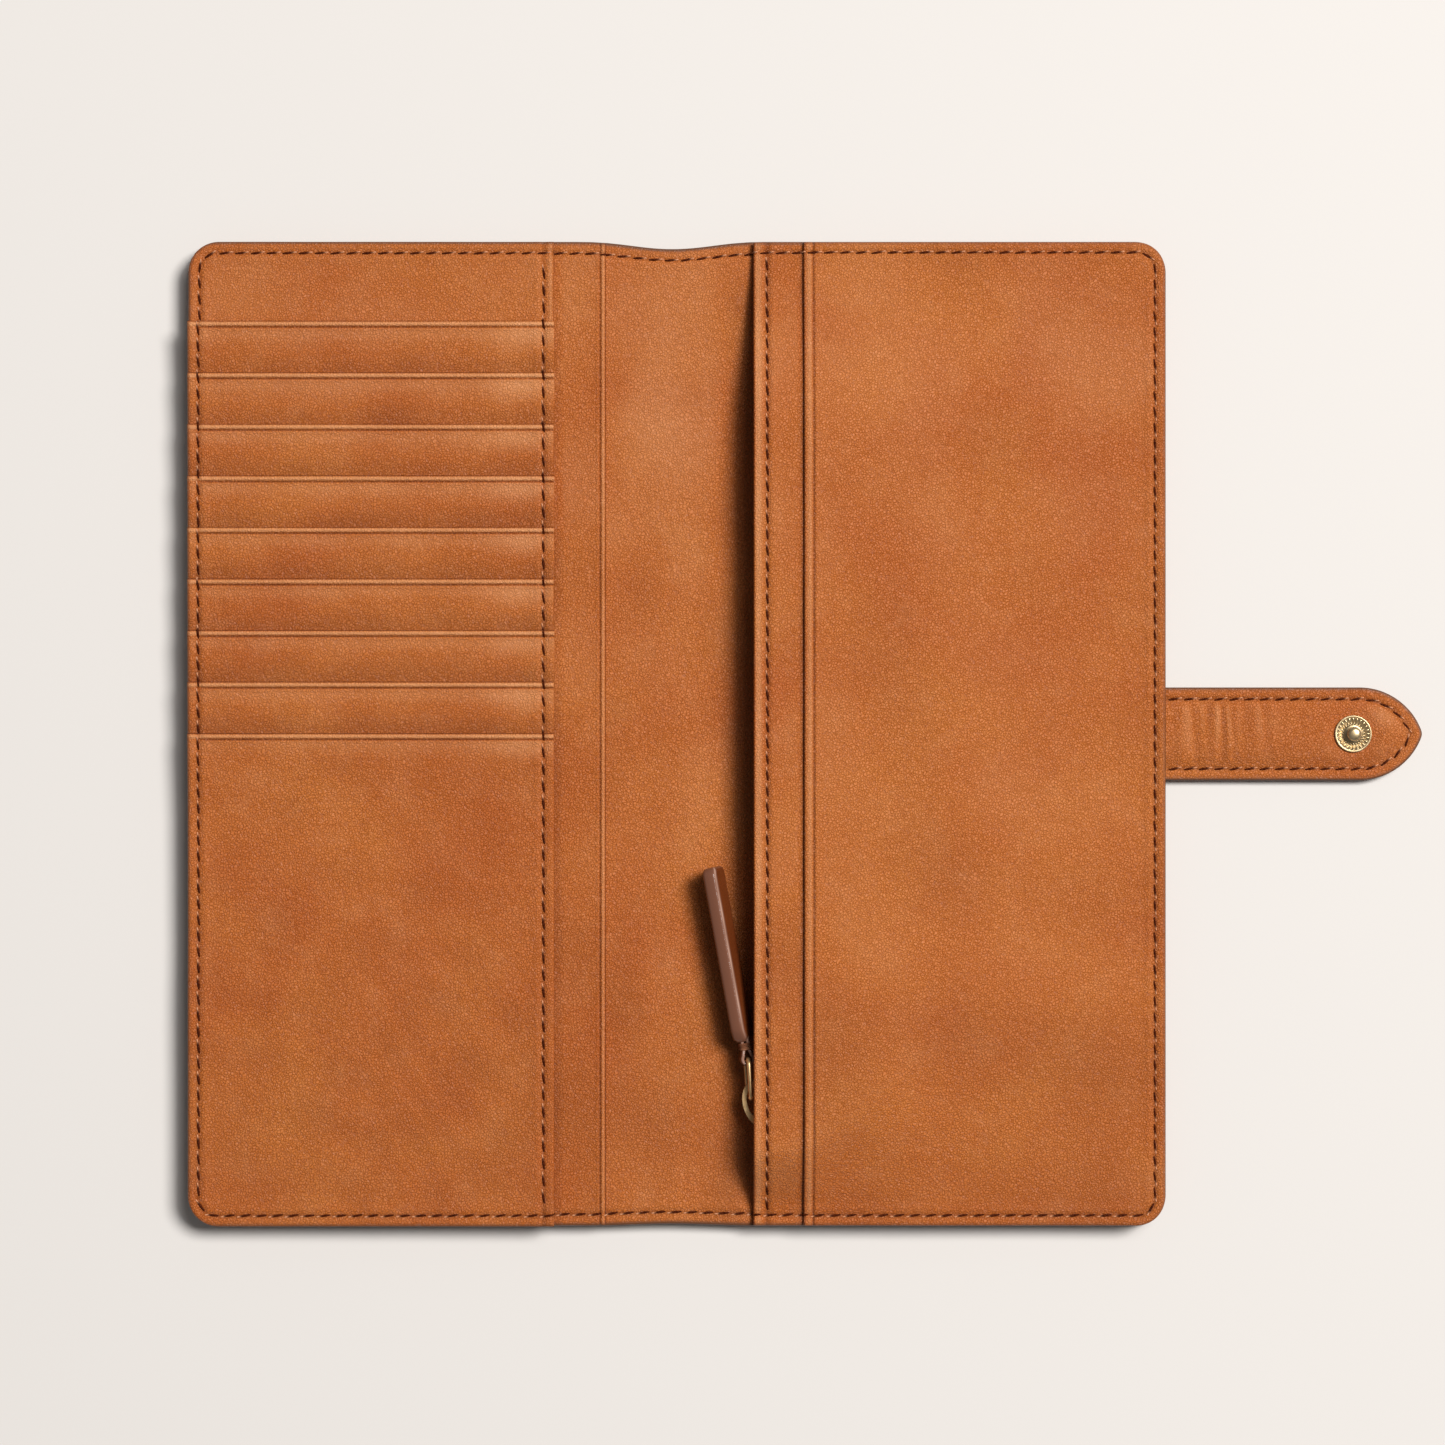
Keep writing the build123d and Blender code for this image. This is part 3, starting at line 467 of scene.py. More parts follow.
def leather_material(name, main, dark, light, grain=1.0, gloss=0.46, paint=rgb(104, 66, 44), paint_gloss=0.4):
    """Oiled leather: patchy colour, fine pebbled grain, darker hollows, painted edges; the tone mark brings
    painted light and shade as well as colour, and the gleam mark a painted highlight.
    """
    n = Nodes(name)
    where = n.attribute("rest", "Vector")
    patches = n.noise(where, 0.035, 2.0, 0.5, 0.3)
    clouds = n.noise(where, 0.16, 3.0, 0.6, 0.2)
    mottle = n.noise(where, 0.55, 3.0, 0.6, 0.6)
    fine = n.noise(where, 3.6, 3.0, 0.62)
    shifted = n.add("VectorMath", operation="ADD")
    n.feed(shifted.inputs[0], where)
    n.feed(shifted.inputs[1], n.noise(where, 0.9, 2.0, 0.5))
    pebbles = n.add("TexVoronoi", feature="DISTANCE_TO_EDGE", Vector=shifted.outputs[0], Scale=1.9)
    hollow = n.ramp(pebbles.outputs["Distance"], 0.25, 0.0)
    pits = n.times(n.times(hollow, n.ramp(fine, 0.68, 0.34)), 0.62 * grain, clamp=True)
    tone, painted = n.attribute("tone"), n.attribute("paint")
    scuffed = n.times(painted, n.ramp(n.noise(where, 0.7), 0.08, 0.34), clamp=True)
    colour = n.mix(n.ramp(patches, 0.3, 0.7), dark, main)
    for share, other in (
        (n.times(n.ramp(clouds, 0.5, 0.9), 0.22), light),
        (n.times(n.ramp(mottle, 0.6, 0.35), 0.25), dark),
        (n.times(n.ramp(fine, 0.5, 0.8), 0.34), light),
        (pits, rgb(100, 38, 6)),
        # tone: paler and darker marks, most of them painted light and shade
        (n.times(tone, 1.0, clamp=True), light),
        (n.times(tone, -1.0, clamp=True), rgb(66, 22, 5)),
        (scuffed, paint),
        # gleam: a painted highlight
        (n.attribute("gleam"), rgb(214, 176, 158)),
    ):
        colour = n.mix(share, colour, other)
    rough = n.math("ADD", n.times(clouds, 0.16), gloss - 0.08)
    rough = n.math("ADD", rough, n.times(painted, paint_gloss - gloss))
    relief = n.math("SUBTRACT", n.times(fine, 0.8), n.times(hollow, 0.9))
    relief = n.math("ADD", relief, n.times(mottle, 0.6))
    relief = n.times(relief, n.math("SUBTRACT", 1.0, n.times(painted, 0.85)))
    return n.finish(colour, rough, relief, 0.75 * grain, 0.16, Specular_IOR_Level=0.3)


def thread_material():
    """Waxed thread: dark brown with lighter twist bands, and a painted highlight, the pale mark, where a
    stitch crosses to the next.
    """
    n = Nodes("waxed_thread")
    twist = n.math("SINE", n.times(n.attribute("along"), 14.0))
    fuzz = n.noise(n.attribute("rest", "Vector"), 3.5, 2.0)
    colour = n.mix(n.ramp(fuzz, 0.35, 0.75), rgb(50, 13, 1), rgb(84, 30, 6))
    colour = n.mix(n.times(n.ramp(twist, 0.5, 1.0), 0.25), colour, rgb(124, 60, 26))
    # pale: a painted highlight
    colour = n.mix(n.attribute("pale"), colour, rgb(222, 158, 118))
    return n.finish(colour, 0.7, n.math("ADD", twist, fuzz), 0.5, 0.05, Specular_IOR_Level=0.08)


def brass_material(name, main, dark, rough):
    """Polished brass with faint tarnish and fine scratches."""
    n = Nodes(name)
    where = n.add("TexCoord").outputs["Object"]
    tarnish = n.noise(where, 900.0, 4.0, 0.65)
    scratch = n.noise(where, 5200.0, 2.0, 0.7)
    colour = n.mix(n.ramp(tarnish, 0.35, 0.75), main, dark)
    rough = n.math("ADD", n.times(scratch, 0.12), rough - 0.04)
    return n.finish(colour, rough, scratch, 0.05, 0.02, Metallic=0.8)


def cloth_material(name, main, dark, scale):
    """Woven fabric: crossing threads as bands of colour and relief."""
    n = Nodes(name)
    where = n.add("TexCoord").outputs["Object"]
    axes = n.add("SeparateXYZ", Vector=where).outputs
    warp = n.math("SINE", n.times(axes["Y"], scale))
    weft = n.math("SINE", n.times(n.math("ADD", axes["X"], axes["Z"]), scale))
    weave = n.times(warp, weft)
    colour = n.mix(n.ramp(weave, -1.0, 1.0), dark, main)
    colour = n.mix(n.times(n.noise(where, 1500.0), 0.3), colour, main)
    return n.finish(colour, 0.85, weave, 0.5, 0.1)


def board_material():
    """Pressed fibre board: speckled and matt."""
    n = Nodes("fibre_board")
    specks = n.noise(n.add("TexCoord").outputs["Object"], 1200.0, 4.0, 0.7)
    colour = n.mix(n.ramp(specks, 0.3, 0.7), rgb(120, 92, 62), rgb(168, 138, 100))
    return n.finish(colour, 0.9, specks, 0.3, 0.1)


TAN_DARK = rgb(184, 94, 34)
TAN_LIGHT = rgb(228, 160, 108)
LEATHER = leather_material("tan_leather", rgb(198, 113, 46), TAN_DARK, TAN_LIGHT)
LEATHER_LINING = leather_material("tan_lining_leather", rgb(202, 117, 50), rgb(187, 97, 37), TAN_LIGHT)
LEATHER_COVER = leather_material("tan_cover_leather", rgb(193, 107, 44), TAN_DARK, TAN_LIGHT,
                                 grain=1.1, gloss=0.42)
LEATHER_TAB = leather_material("tan_tab_leather", rgb(122, 60, 26), rgb(98, 45, 18), rgb(150, 80, 36),
                               grain=0.4, gloss=0.36, paint=rgb(120, 78, 60), paint_gloss=0.2)
THREAD = thread_material()
BRASS_PALE = brass_material("pale_brass", rgb(204, 184, 146), rgb(168, 142, 100), 0.3)
BRASS_ZIP = brass_material("zip_brass", rgb(250, 214, 160), rgb(214, 168, 110), 0.34)
TAPE = cloth_material("zip_tape_weave", rgb(96, 58, 34), rgb(52, 28, 14), 9000.0)
SLOT_CLOTH = cloth_material("slot_lining_weave", rgb(120, 88, 60), rgb(78, 54, 34), 12000.0)
BOARD = board_material()

# ------------ heights of the inside faces


def seam_press(distance, depth=0.22, width=0.5):
    """A sewn line pulls the leather down and leaves it proud on both sides."""
    return 0.13 * bell(np.abs(distance) - 1.25, 0.75) - depth * bell(distance, width)


def crease(distance, depth, width):
    """A pressed line, with a small raised lip beside it."""
    return 0.07 * bell(np.abs(distance) - 0.5, 0.3) - depth * bell(distance, width)


def edge_press(x, y, depth=0.22):
    """The seam that runs round the whole wallet."""
    return seam_press(outline_distance(x, y) - EDGE_SEAM, depth)


def wall_under(x, y):
    """Height under the raised zip wall: a wedge with ramped ends."""
    slope = (WALL_RIM_X - x) / (WALL_RIM_X - WALL_EDGE)
    across = 0.25 * smooth(slope) + 0.75 * np.clip(slope, 0, 1)
    start = np.where(y > 0, RAMP_START_HIGH, RAMP_START_LOW - 30 * smooth((x - 22) / 34))
    ramp = np.clip((RAMP_END - np.abs(y)) / (RAMP_END - start), 0, 1)
    return RIM_Z + (MOUTH_Z - RIM_Z) * across * (0.5 * ramp + 0.5 * smooth(ramp))


def wall_top(x, y):
    z = wall_under(x, y) + WALL_T + seam_press(x - ZIP_SEAM, 0.2)
    return z + edge_press(x, y) + 0.05 * ripples(x, y, 22, 3)


def slip_top(x, y):
    inwards = x - SLIP_EDGE
    z = wall_under(x, y) + WALL_T + PANEL_GAP + SLIP_T
    z = z + crease(inwards - SLIP_CREASE, 0.12, 0.22) + 0.12 * bell(inwards - SLIP_LIP, 0.5)
    return z + edge_press(x, y) + 0.07 * ripples(x, y, 34, 5)


def bill_top(x, y):
    inwards = BILL_EDGE - x
    z = BILL_TOP + crease(LIP_CREASE - inwards, 0.16, 0.17) + 0.1 * bell(LIP - inwards, 0.36)
    return z + edge_press(x, y, 0.12) + 0.04 * ripples(x, y, 18, 7)


def card_back_top(x, y):
    z = CARD_BACK_TOP + seam_press(x - CARD_SEAM, 0.16, 0.45) + edge_press(x, y)
    return z + 0.05 * ripples(x, y, 20, 11) * smooth((y - SLOT_TOPS[0]) / 3)


def slot_top(index):
    """Height of a card slot's strip, which leans on the strips below it."""
    def height(x, y):
        down = SLOT_TOPS[index] - y
        z = SLOT_FOOT_Z + np.maximum(0, SLOT_STRIP - down) * SLOT_SLOPE + SLOT_T
        z = z + crease(down - SLOT_CREASE, 0.2, 0.17) * smooth((x - LEFT - 1.2) / 3.0)
        z = z + 0.15 * bell(down - SLOT_LIP, 0.38)
        z = z + seam_press(x - CARD_SEAM, 0.14, 0.45) + edge_press(x, y, 0.14)
        return z + 0.035 * ripples(x, y, 16, 20 + index) * smooth((down - 1.5) / 2)
    return height


def pocket_creases(x, y, shift=0.0):
    """Soft slanting creases over the lower part of the front pocket, from about -1 to 1."""
    u, v = x + 50, y + 66
    slant = u * 0.8 + v * 0.6
    return np.sin(slant * 0.85 + 1.6 * ripples(x, y, 26, 33) + shift) * bell(np.hypot(u / 1.2, v / 1.6), 17)


def pocket_front_top(x, y):
    calm = smooth((SLOT_TOPS[-1] - 3 - y) / 10)
    waves = 0.10 * ripples(x, y, 30, 29) + 0.055 * pocket_creases(x, y)
    return slot_top(SLOT_COUNT)(x, y) + waves * calm


def lining_top(x, y):
    lump = 0.16 * bell(np.hypot(x - 12.6, (y + 35) / 1.2), 1.8)
    waves = (0.05 * ripples(x, y, 12, 63) * smooth(np.abs(x) / 3) + lump) * smooth((WALL_EDGE - x) / 2)
    return LINING_TOP + edge_press(x, y, 0.12) + waves


def cover_under(x, y):
    """The outer face: pressed in along the seam, and a little uneven away from the fold and the edge."""
    waves = 0.05 * ripples(x, y, 30, 51) * smooth(np.abs(x) / 6) * smooth(outline_distance(x, y) / 6)
    return 0.12 * bell(outline_distance(x, y) - EDGE_SEAM, 0.5) + waves


# ------------ tones, mostly painted light and shade: above 0 paler, below 0 darker


def edge_tone(x, y):
    """Leather darkens beside the outer edge; the sewn line gets painted shade, and a painted sheen makes the
    top paler and the bottom a little darker.
    """
    d = outline_distance(x, y)
    # painted sheen: paler towards the top, darker towards the bottom
    painted_sheen = 0.08 * smooth((y - 20) / 60) * (0.7 + 0.3 * ripples(x, y, 26, 91))
    painted_sheen = painted_sheen - 0.07 * smooth((-20 - y) / 60)
    # painted shade in the sewn groove, and a darker band beside the outer edge
    return painted_sheen - 0.34 * bell(d - EDGE_SEAM, 0.35) - 0.40 * bell(d, 0.7)


def slot_tone(index):
    """A pale lip between two dark lines, as a painted highlight between a dark top edge and painted shade in
    the crease; a painted sheen below it and towards the seam, and painted shade above the next slot and in
    the sewn line.
    """
    def tone(x, y):
        down = SLOT_TOPS[index] - y
        t = edge_tone(x, y)
        # painted shade in the crease
        t = t - 0.80 * bell(down - SLOT_CREASE - 0.02, 0.17) * smooth((x - LEFT - 1.5) / 3)
        # painted highlight on the lip
        t = t + 0.58 * bell((down - SLOT_LIP - 0.01) ** 2, 0.2)
        # a thin dark line at the top edge
        t = t - 0.85 * bell(down - 0.04, 0.17)
        # painted sheen below the lip, and towards the seam's end
        t = t + 0.18 * bell(down - 2.4, 1.4)
        t = t + 0.28 * bell(np.hypot((x - CARD_SEAM + 4) / 2.2, down - 2.8), 2.6)
        # painted shade above the next slot's edge
        if index < SLOT_COUNT:
            t = t - 0.25 * smooth(1 - (y - SLOT_TOPS[index + 1]) / 5.5)
        # painted shade in the sewn line
        t = t - 0.3 * bell(x - CARD_SEAM, 0.35)
        return t + 0.035 * ripples(x, y, 12, 40 + index)
    return tone


def pocket_front_tone(x, y):
    # painted light and shade along the slanting creases
    return slot_tone(SLOT_COUNT)(x, y) + 0.06 * pocket_creases(x, y, 0.4)


def panel_tone(seed, lines_x=()):
    """Edges, painted light on the low ramp at the foot of the raised wall, and lines along y as (place,
    depth, width): painted highlights and shade beside folded edges, creases and seams, and dark edge lines.
    """
    def tone(x, y):
        t = edge_tone(x, y)
        # painted light on the low ramp at the foot of the raised wall
        t = t + 0.16 * bell(y + 85.5, 5.5) * smooth((x - WALL_EDGE) / 2) * smooth((48 - x) / 24)
        for place, depth, width in lines_x:
            t = t + depth * bell(x - place, width)
        return t + 0.05 * ripples(x, y, 30, seed)
    return tone


def lining_tone(x, y):
    t = edge_tone(x, y)
    # painted shadow on the lining beside the raised zip wall
    t = t - 0.30 * smooth((x - 5) / 9) * smooth((93 - np.abs(y)) / 12)
    # painted sheen on the spine towards the top
    t = t + 0.16 * bell(np.hypot((x + 2) / 1.2, (y - 62) / 2.4), 9)
    return t + 0.05 * ripples(x, y, 18, 61)


# ------------ cover, lining and panels

SEAM_BANDS_Y = [(TOP - EDGE_SEAM, 2.2, 0.35), (BOTTOM + EDGE_SEAM, 2.2, 0.35)]
RAMP_BANDS_Y = [(85, 7, 0.8), (-85, 7, 0.8)]
SEAM_BAND_LEFT = (LEFT + EDGE_SEAM, 2.2, 0.3)
SEAM_BAND_RIGHT = (RIGHT - EDGE_SEAM, 2.2, 0.3)
CARD_BANDS_X = [(CARD_SEAM, 1.6, 0.25), SEAM_BAND_LEFT]
CARD_INSET = 0.38
EAST, WEST = ("ne", "se"), ("nw", "sw")


def build_folding_sheets():
    """Cover and lining, each in two pieces that meet in the middle of the spine."""
    lining_bands = [(TOP - EDGE_SEAM, 3, 0.4), (BOTTOM + EDGE_SEAM, 3, 0.4), (-35, 5, 0.5)]
    for side, half, name, corners, cut in ((-1, "front", "left", WEST, "e"), (1, "back", "right", EAST, "w")):
        mount = folding(f"{half}_half", side)

        def half_span(inset):
            x = (LEFT + inset, 0) if side < 0 else (0, RIGHT - inset)
            return (*x, BOTTOM + inset, TOP - inset)

        cover = sheet(f"outer_cover_{name}", half_span(0), lambda x, y: np.full_like(x, COVER_TOP), COVER_TOP,
                      panel_tone(52), corners, LEATHER_COVER, rim=0.6, step=3.0,
                      fine_x=[(side * FOLD_X, 5.0, 0.6)], open_sides=cut, under=cover_under)
        hand_over(cover, mount, [f"{half}_cover", "spine_cover"])
        lining = sheet(f"inner_lining_{name}", half_span(0.15), lining_top, 0.7, lining_tone, corners,
                       LEATHER_LINING, step=3.0, fine_x=[(side * 7.5, 7.6, 0.5)], fine_y=lining_bands,
                       open_sides=cut)
        hand_over(lining, mount, [f"{half}_lining", "spine_lining"])


def panel(name, node, edge, corners, inset, *form, **detail):
    """A leather panel of the full height, from its inner edge to the wallet's side, riding on its half."""
    x = (LEFT + inset, edge) if corners == WEST else (edge, RIGHT - inset)
    piece = sheet(name, (*x, BOTTOM + inset, TOP - inset), *form, corners=corners, **detail)
    hand_over(piece, riding("front_half" if corners == WEST else "back_half"), [node])


def build_left_panels():
    # tone lines: painted shade in the lip's crease, a painted highlight on the lip, a dark line at the edge,
    # and painted shade beside the card panel's edge
    panel("bill_pocket_leather", "bill_pocket_panel", BILL_EDGE, WEST, 0.3, bill_top, 0.8,
          panel_tone(71, [(BILL_EDGE - LIP_CREASE, -0.5, 0.17), (BILL_EDGE - 0.55, 0.4, 0.34),
                          (BILL_EDGE - 0.05, -0.7, 0.16), (CARD_EDGE + 0.4, -0.4, 0.6)]),
          fine_x=[(BILL_EDGE - LIP_CREASE, 1.2, 0.11), (BILL_EDGE - 6, 4, 1.0)], fine_y=SEAM_BANDS_Y)
    # tone lines: painted shade in the sewn line, a dark line at the edge and a painted highlight just inside
    # it
    panel("card_panel_leather", "card_panel_back", CARD_EDGE, WEST, 0.3, card_back_top, 0.7,
          panel_tone(73, [(CARD_SEAM, -0.3, 0.35), (CARD_EDGE - 0.1, -0.4, 0.2),
                          (CARD_EDGE - 0.6, 0.3, 0.35)]),
          step=2.0, fine_x=CARD_BANDS_X, fine_y=SEAM_BANDS_Y)


def card_strip(name, node, edge, foot, jog, top, tone, **detail):
    """One strip of the card slots, or the front pocket, from its foot up to its folded edge."""
    span = (LEFT + CARD_INSET, CARD_EDGE + jog, foot, edge)
    piece = sheet(name, span, top, SLOT_T, tone, rim=0.27, fine_x=CARD_BANDS_X, scalloped=False, **detail)
    hand_over(piece, riding("front_half"), [node])


def build_card_pockets():
    """Eight strips, whose ends differ a little in length, and the front pocket below them."""
    for index, edge in enumerate(SLOT_TOPS[:SLOT_COUNT]):
        number = index + 1
        card_strip(f"card_slot_leather_{number}", f"card_slot_{number}", edge, edge - SLOT_STRIP,
                   0.10 + 0.10 * math.sin(index * 2.3), slot_top(index), slot_tone(index), step=1.6,
                   fine_y=[(edge - LIP_CREASE, 0.9, 0.09), (edge - 4, 3, 0.6)])
    edge = SLOT_TOPS[-1]
    card_strip("card_pocket_leather", "card_pocket_front", edge, BOTTOM + CARD_INSET, 0.05, pocket_front_top,
               pocket_front_tone, corners=("sw",), step=1.4,
               fine_y=[(edge - LIP_CREASE, 0.9, 0.09), SEAM_BANDS_Y[1]])


def build_right_panels():
    panel("zip_back_leather", "zip_pocket_back_wall", cad("zip_pocket_back_wall")[0][0], EAST, 0.3,
          lambda x, y: np.full_like(x, RIM_Z - PANEL_GAP), 0.7, panel_tone(81), step=4.0)
    inset = 0.4
    # tone lines: painted shade in the sewn line, a painted highlight on the rounded mouth edge, a dark line
    # at that edge, and a painted shadow where the slip pocket's edge overlaps
    panel("zip_wall_leather", "zip_pocket_front_wall", WALL_EDGE, EAST, inset, wall_top, WALL_T,
          panel_tone(83, [(ZIP_SEAM, -0.35, 0.35), (WALL_EDGE + 0.9, 0.5, 0.6), (WALL_EDGE + 0.1, -0.5, 0.2),
                          (SLIP_EDGE - 0.3, -0.7, 0.35)]),
          radius=CORNER_R - inset, rim=0.42, step=2.0,
          fine_x=[(ZIP_SEAM, 1.5, 0.25), (WALL_EDGE + 4, 5, 0.6)], fine_y=SEAM_BANDS_Y + RAMP_BANDS_Y)
    inset = 0.5
    # tone lines: painted shade in the crease, a painted highlight on the lip and a dark line at the edge
    panel("slip_pocket_leather", "slip_pocket", SLIP_EDGE, EAST, inset, slip_top, SLIP_T,
          panel_tone(85, [(SLIP_EDGE + SLIP_CREASE, -0.6, 0.2), (SLIP_EDGE + SLIP_LIP, 0.4, 0.5),
                          (SLIP_EDGE + 0.1, -0.6, 0.2)]),
          radius=CORNER_R - inset, rim=0.36, step=2.0,
          fine_x=[(SLIP_EDGE + SLIP_CREASE, 0.8, 0.12), SEAM_BAND_RIGHT], fine_y=SEAM_BANDS_Y + RAMP_BANDS_Y)


# ------------ stitches

STITCH_STEPS = np.array([-1.0, -0.88, -0.7, -0.45, -0.15, 0.15, 0.42, 0.6, 0.72, 0.82, 0.92, 1.0])
STITCH_WIDTHS = np.array([0.25, 0.55, 0.8, 1.0, 1.08, 1.0, 0.85, 0.65, 0.55, 0.6, 0.55, 0.3])
STITCH_LIFTS = np.array([-1.0, -0.5, -0.05, 0.15, 0.2, 0.15, 0.0, 0.05, 0.25, 0.35, 0.1, -0.6])
# how much painted highlight each ring of a stitch takes
STITCH_HIGHLIGHTS = np.array([0, 0, 0, 0, 0, 0, 0.1, 0.5, 1, 1, 0.9, 0.5])
STITCH_SIDES = 7


def surface(x, y):
    """Height of the inside face at one place, from the same functions as the sheets."""
    if x >= WALL_EDGE:
        height = slip_top if x >= SLIP_EDGE else wall_top
    elif x > CARD_EDGE:
        height = lining_top if x > BILL_EDGE else bill_top
    elif y > SLOT_TOPS[0]:
        height = card_back_top
    else:
        index = int((SLOT_TOPS[0] - y) / SLOT_PITCH)
        height = pocket_front_top if index >= SLOT_COUNT else slot_top(index)
    return float(height(np.array([x]), np.array([y]))[0])


def outer_bed(x, y):
    """Depth that a stitch sinks into a plain outer face."""
    return -0.12


def stitches(places, pitch=STITCH_PITCH, slant=9.0, height_of=surface, level=None):
    """Stitches as meshes: a dark twist, then a thin end with a painted highlight that dips away. A level
    turns them face down.
    """
    rng = np.random.default_rng(17)
    rows = np.arange(len(STITCH_STEPS))[:, None] * pitch / (len(STITCH_STEPS) - 1)
    along = rows + 0.14 * np.arange(STITCH_SIDES)
    marks = {"along": along.ravel(), "pale": np.repeat(STITCH_HIGHLIGHTS, STITCH_SIDES)}
    parts = []
    for x, y, heading in places:
        turn = heading + math.radians(slant + rng.uniform(-2.5, 2.5))
        half = pitch * 0.5 * rng.uniform(0.93, 1.0)
        thickness = THREAD_R * rng.uniform(0.92, 1.1)
        path = []
        for s, lift in zip(STITCH_STEPS, STITCH_LIFTS):
            px, py = x + s * half * math.cos(turn), y + s * half * math.sin(turn)
            path.append((px, py + float(scallop_shift(px, py)), height_of(px, py) + THREAD_R * lift))
        points, faces = tube(path, thickness * STITCH_WIDTHS, STITCH_SIDES)
        if level is not None:
            points[:, 2] = level - points[:, 2]
            faces = [tuple(reversed(face)) for face in faces]
        parts.append((points, faces, marks))
    return parts


def stitch_piece(name, node, mount, parts):
    points, faces, marks = join_meshes(parts)
    piece = mesh_object(name, points, faces, {"rest": points, **marks}, THREAD)
    hand_over(piece, mount, [node])


def outline_path(inset, pitch):
    """Evenly spaced places and headings round the wallet's outline, drawn in by inset."""
    r = CORNER_R - inset
    x0, x1, y0, y1 = LEFT + inset, RIGHT - inset, BOTTOM + inset, TOP - inset
    straight_x, straight_y, arc = x1 - x0 - 2 * r, y1 - y0 - 2 * r, r * math.pi / 2
    parts = [
        ("line", x0 + r, y1, 0, straight_x), ("arc", x1 - r, y1 - r, 90, arc),
        ("line", x1, y1 - r, -90, straight_y), ("arc", x1 - r, y0 + r, 0, arc),
        ("line", x1 - r, y0, 180, straight_x), ("arc", x0 + r, y0 + r, -90, arc),
        ("line", x0, y0 + r, 90, straight_y), ("arc", x0 + r, y1 - r, 180, arc),
    ]
    total = sum(part[4] for part in parts)
    count = round(total / pitch)
    places = []
    for i in range(count):
        s = (i + 0.5) * total / count
        for kind, px, py, angle, length in parts:
            if s > length:
                s -= length
                continue
            if kind == "line":
                a = math.radians(angle)
                places.append((px + s * math.cos(a), py + s * math.sin(a), a))
            else:
                a = math.radians(angle) - s / r
                places.append((px + r * math.cos(a), py + r * math.sin(a), a - math.pi / 2))
            break
    return places


def straight_places(x0, y0, x1, y1, pitch):
    length = math.hypot(x1 - x0, y1 - y0)
    count = int(length / pitch)
    heading = math.atan2(y1 - y0, x1 - x0)
    steps = [(length - (count - 1) * pitch) / 2 + i * pitch for i in range(count)]
    return [(x0 + s * math.cos(heading), y0 + s * math.sin(heading), heading) for s in steps]


def build_edge_stitches():
    """The seam all round the wallet, seen on the inside and on the outer face."""
    near = FOLD_X + 5.5
    groups = (
        ("edge_stitching_left", -math.inf, -near, "front_edge_stitches", riding("front_half")),
        ("spine_stitching_left", -near, 0, "spine_stitches", folding("front_half", -1)),
        ("spine_stitching_right", 0, near, "spine_stitches", folding("back_half", 1)),
        ("edge_stitching_right", near, math.inf, "back_edge_stitches", riding("back_half")),
    )
    for name, low, high, node, mount in groups:
        places = [p for p in outline_path(EDGE_SEAM, STITCH_PITCH) if low <= p[0] < high]
        stitch_piece(name, node, mount, stitches(places) + stitches(places, height_of=outer_bed, level=0.0))


def build_panel_stitches():
    end = TOP - EDGE_SEAM - 0.6
    for name, body, x, pitch in (
        ("card_panel", "front_half", CARD_SEAM, CARD_PITCH),
        ("zip_seam", "back_half", ZIP_SEAM, STITCH_PITCH),
    ):
        parts = stitches(straight_places(x, -end, x, end, pitch), pitch)
        stitch_piece(f"{name}_stitching", f"{name}_stitches", riding(body), parts)


# ------------ strap

STRAP_HALF = cad("strap_mid_inner")[1][1]
STRAP_ROOT = cad("strap_base_inner")[0][0]
STRAP_END = cad("strap_tip_inner")[1][0]
STRAP_CUT = (STRAP_FOLD_1[0] + STRAP_FOLD_2[0]) / 2
STRAP_LOW = cad("strap_mid_outer")[0][2]
STRAP_SEAM = 2.25
STRAP_RIM = 0.36
NOSE_R = 2.0
NOSE_X = STRAP_END - NOSE_R
OGIVE_START = 132.3
OGIVE_REACH = NOSE_X - OGIVE_START
OGIVE_R = (OGIVE_REACH ** 2 + STRAP_HALF ** 2 - NOSE_R ** 2) / (2 * (STRAP_HALF - NOSE_R))
OGIVE_LEAN = math.atan2(OGIVE_REACH, OGIVE_R - STRAP_HALF)


def strap_half_width(x):
    """Half width of the strap at x: straight, then an ogive with a small round nose."""
    along = np.clip(x - OGIVE_START, 0, None)
    ogive = np.sqrt(np.maximum(OGIVE_R ** 2 - along ** 2, 0)) - (OGIVE_R - STRAP_HALF)
    nose = np.sqrt(np.maximum(NOSE_R ** 2 - np.maximum(x - NOSE_X, 0) ** 2, 0))
    turn_x = OGIVE_START + OGIVE_R * math.sin(OGIVE_LEAN)
    return np.where(x <= OGIVE_START, STRAP_HALF, np.where(x < turn_x, ogive, nose))


def strap_edge_distance(x, y):
    """True distance inwards from the strap's outline."""
    straight = STRAP_HALF - np.abs(y)
    ogive = OGIVE_R - np.hypot(x - OGIVE_START, np.abs(y) + OGIVE_R - STRAP_HALF)
    nose = NOSE_R - np.hypot(x - NOSE_X, y)
    in_nose = (x > NOSE_X) & (np.abs(y) * math.sin(OGIVE_LEAN) < (x - NOSE_X) * math.cos(OGIVE_LEAN))
    return np.maximum(np.where(x <= OGIVE_START, straight, np.where(in_nose, nose, ogive)), 0)


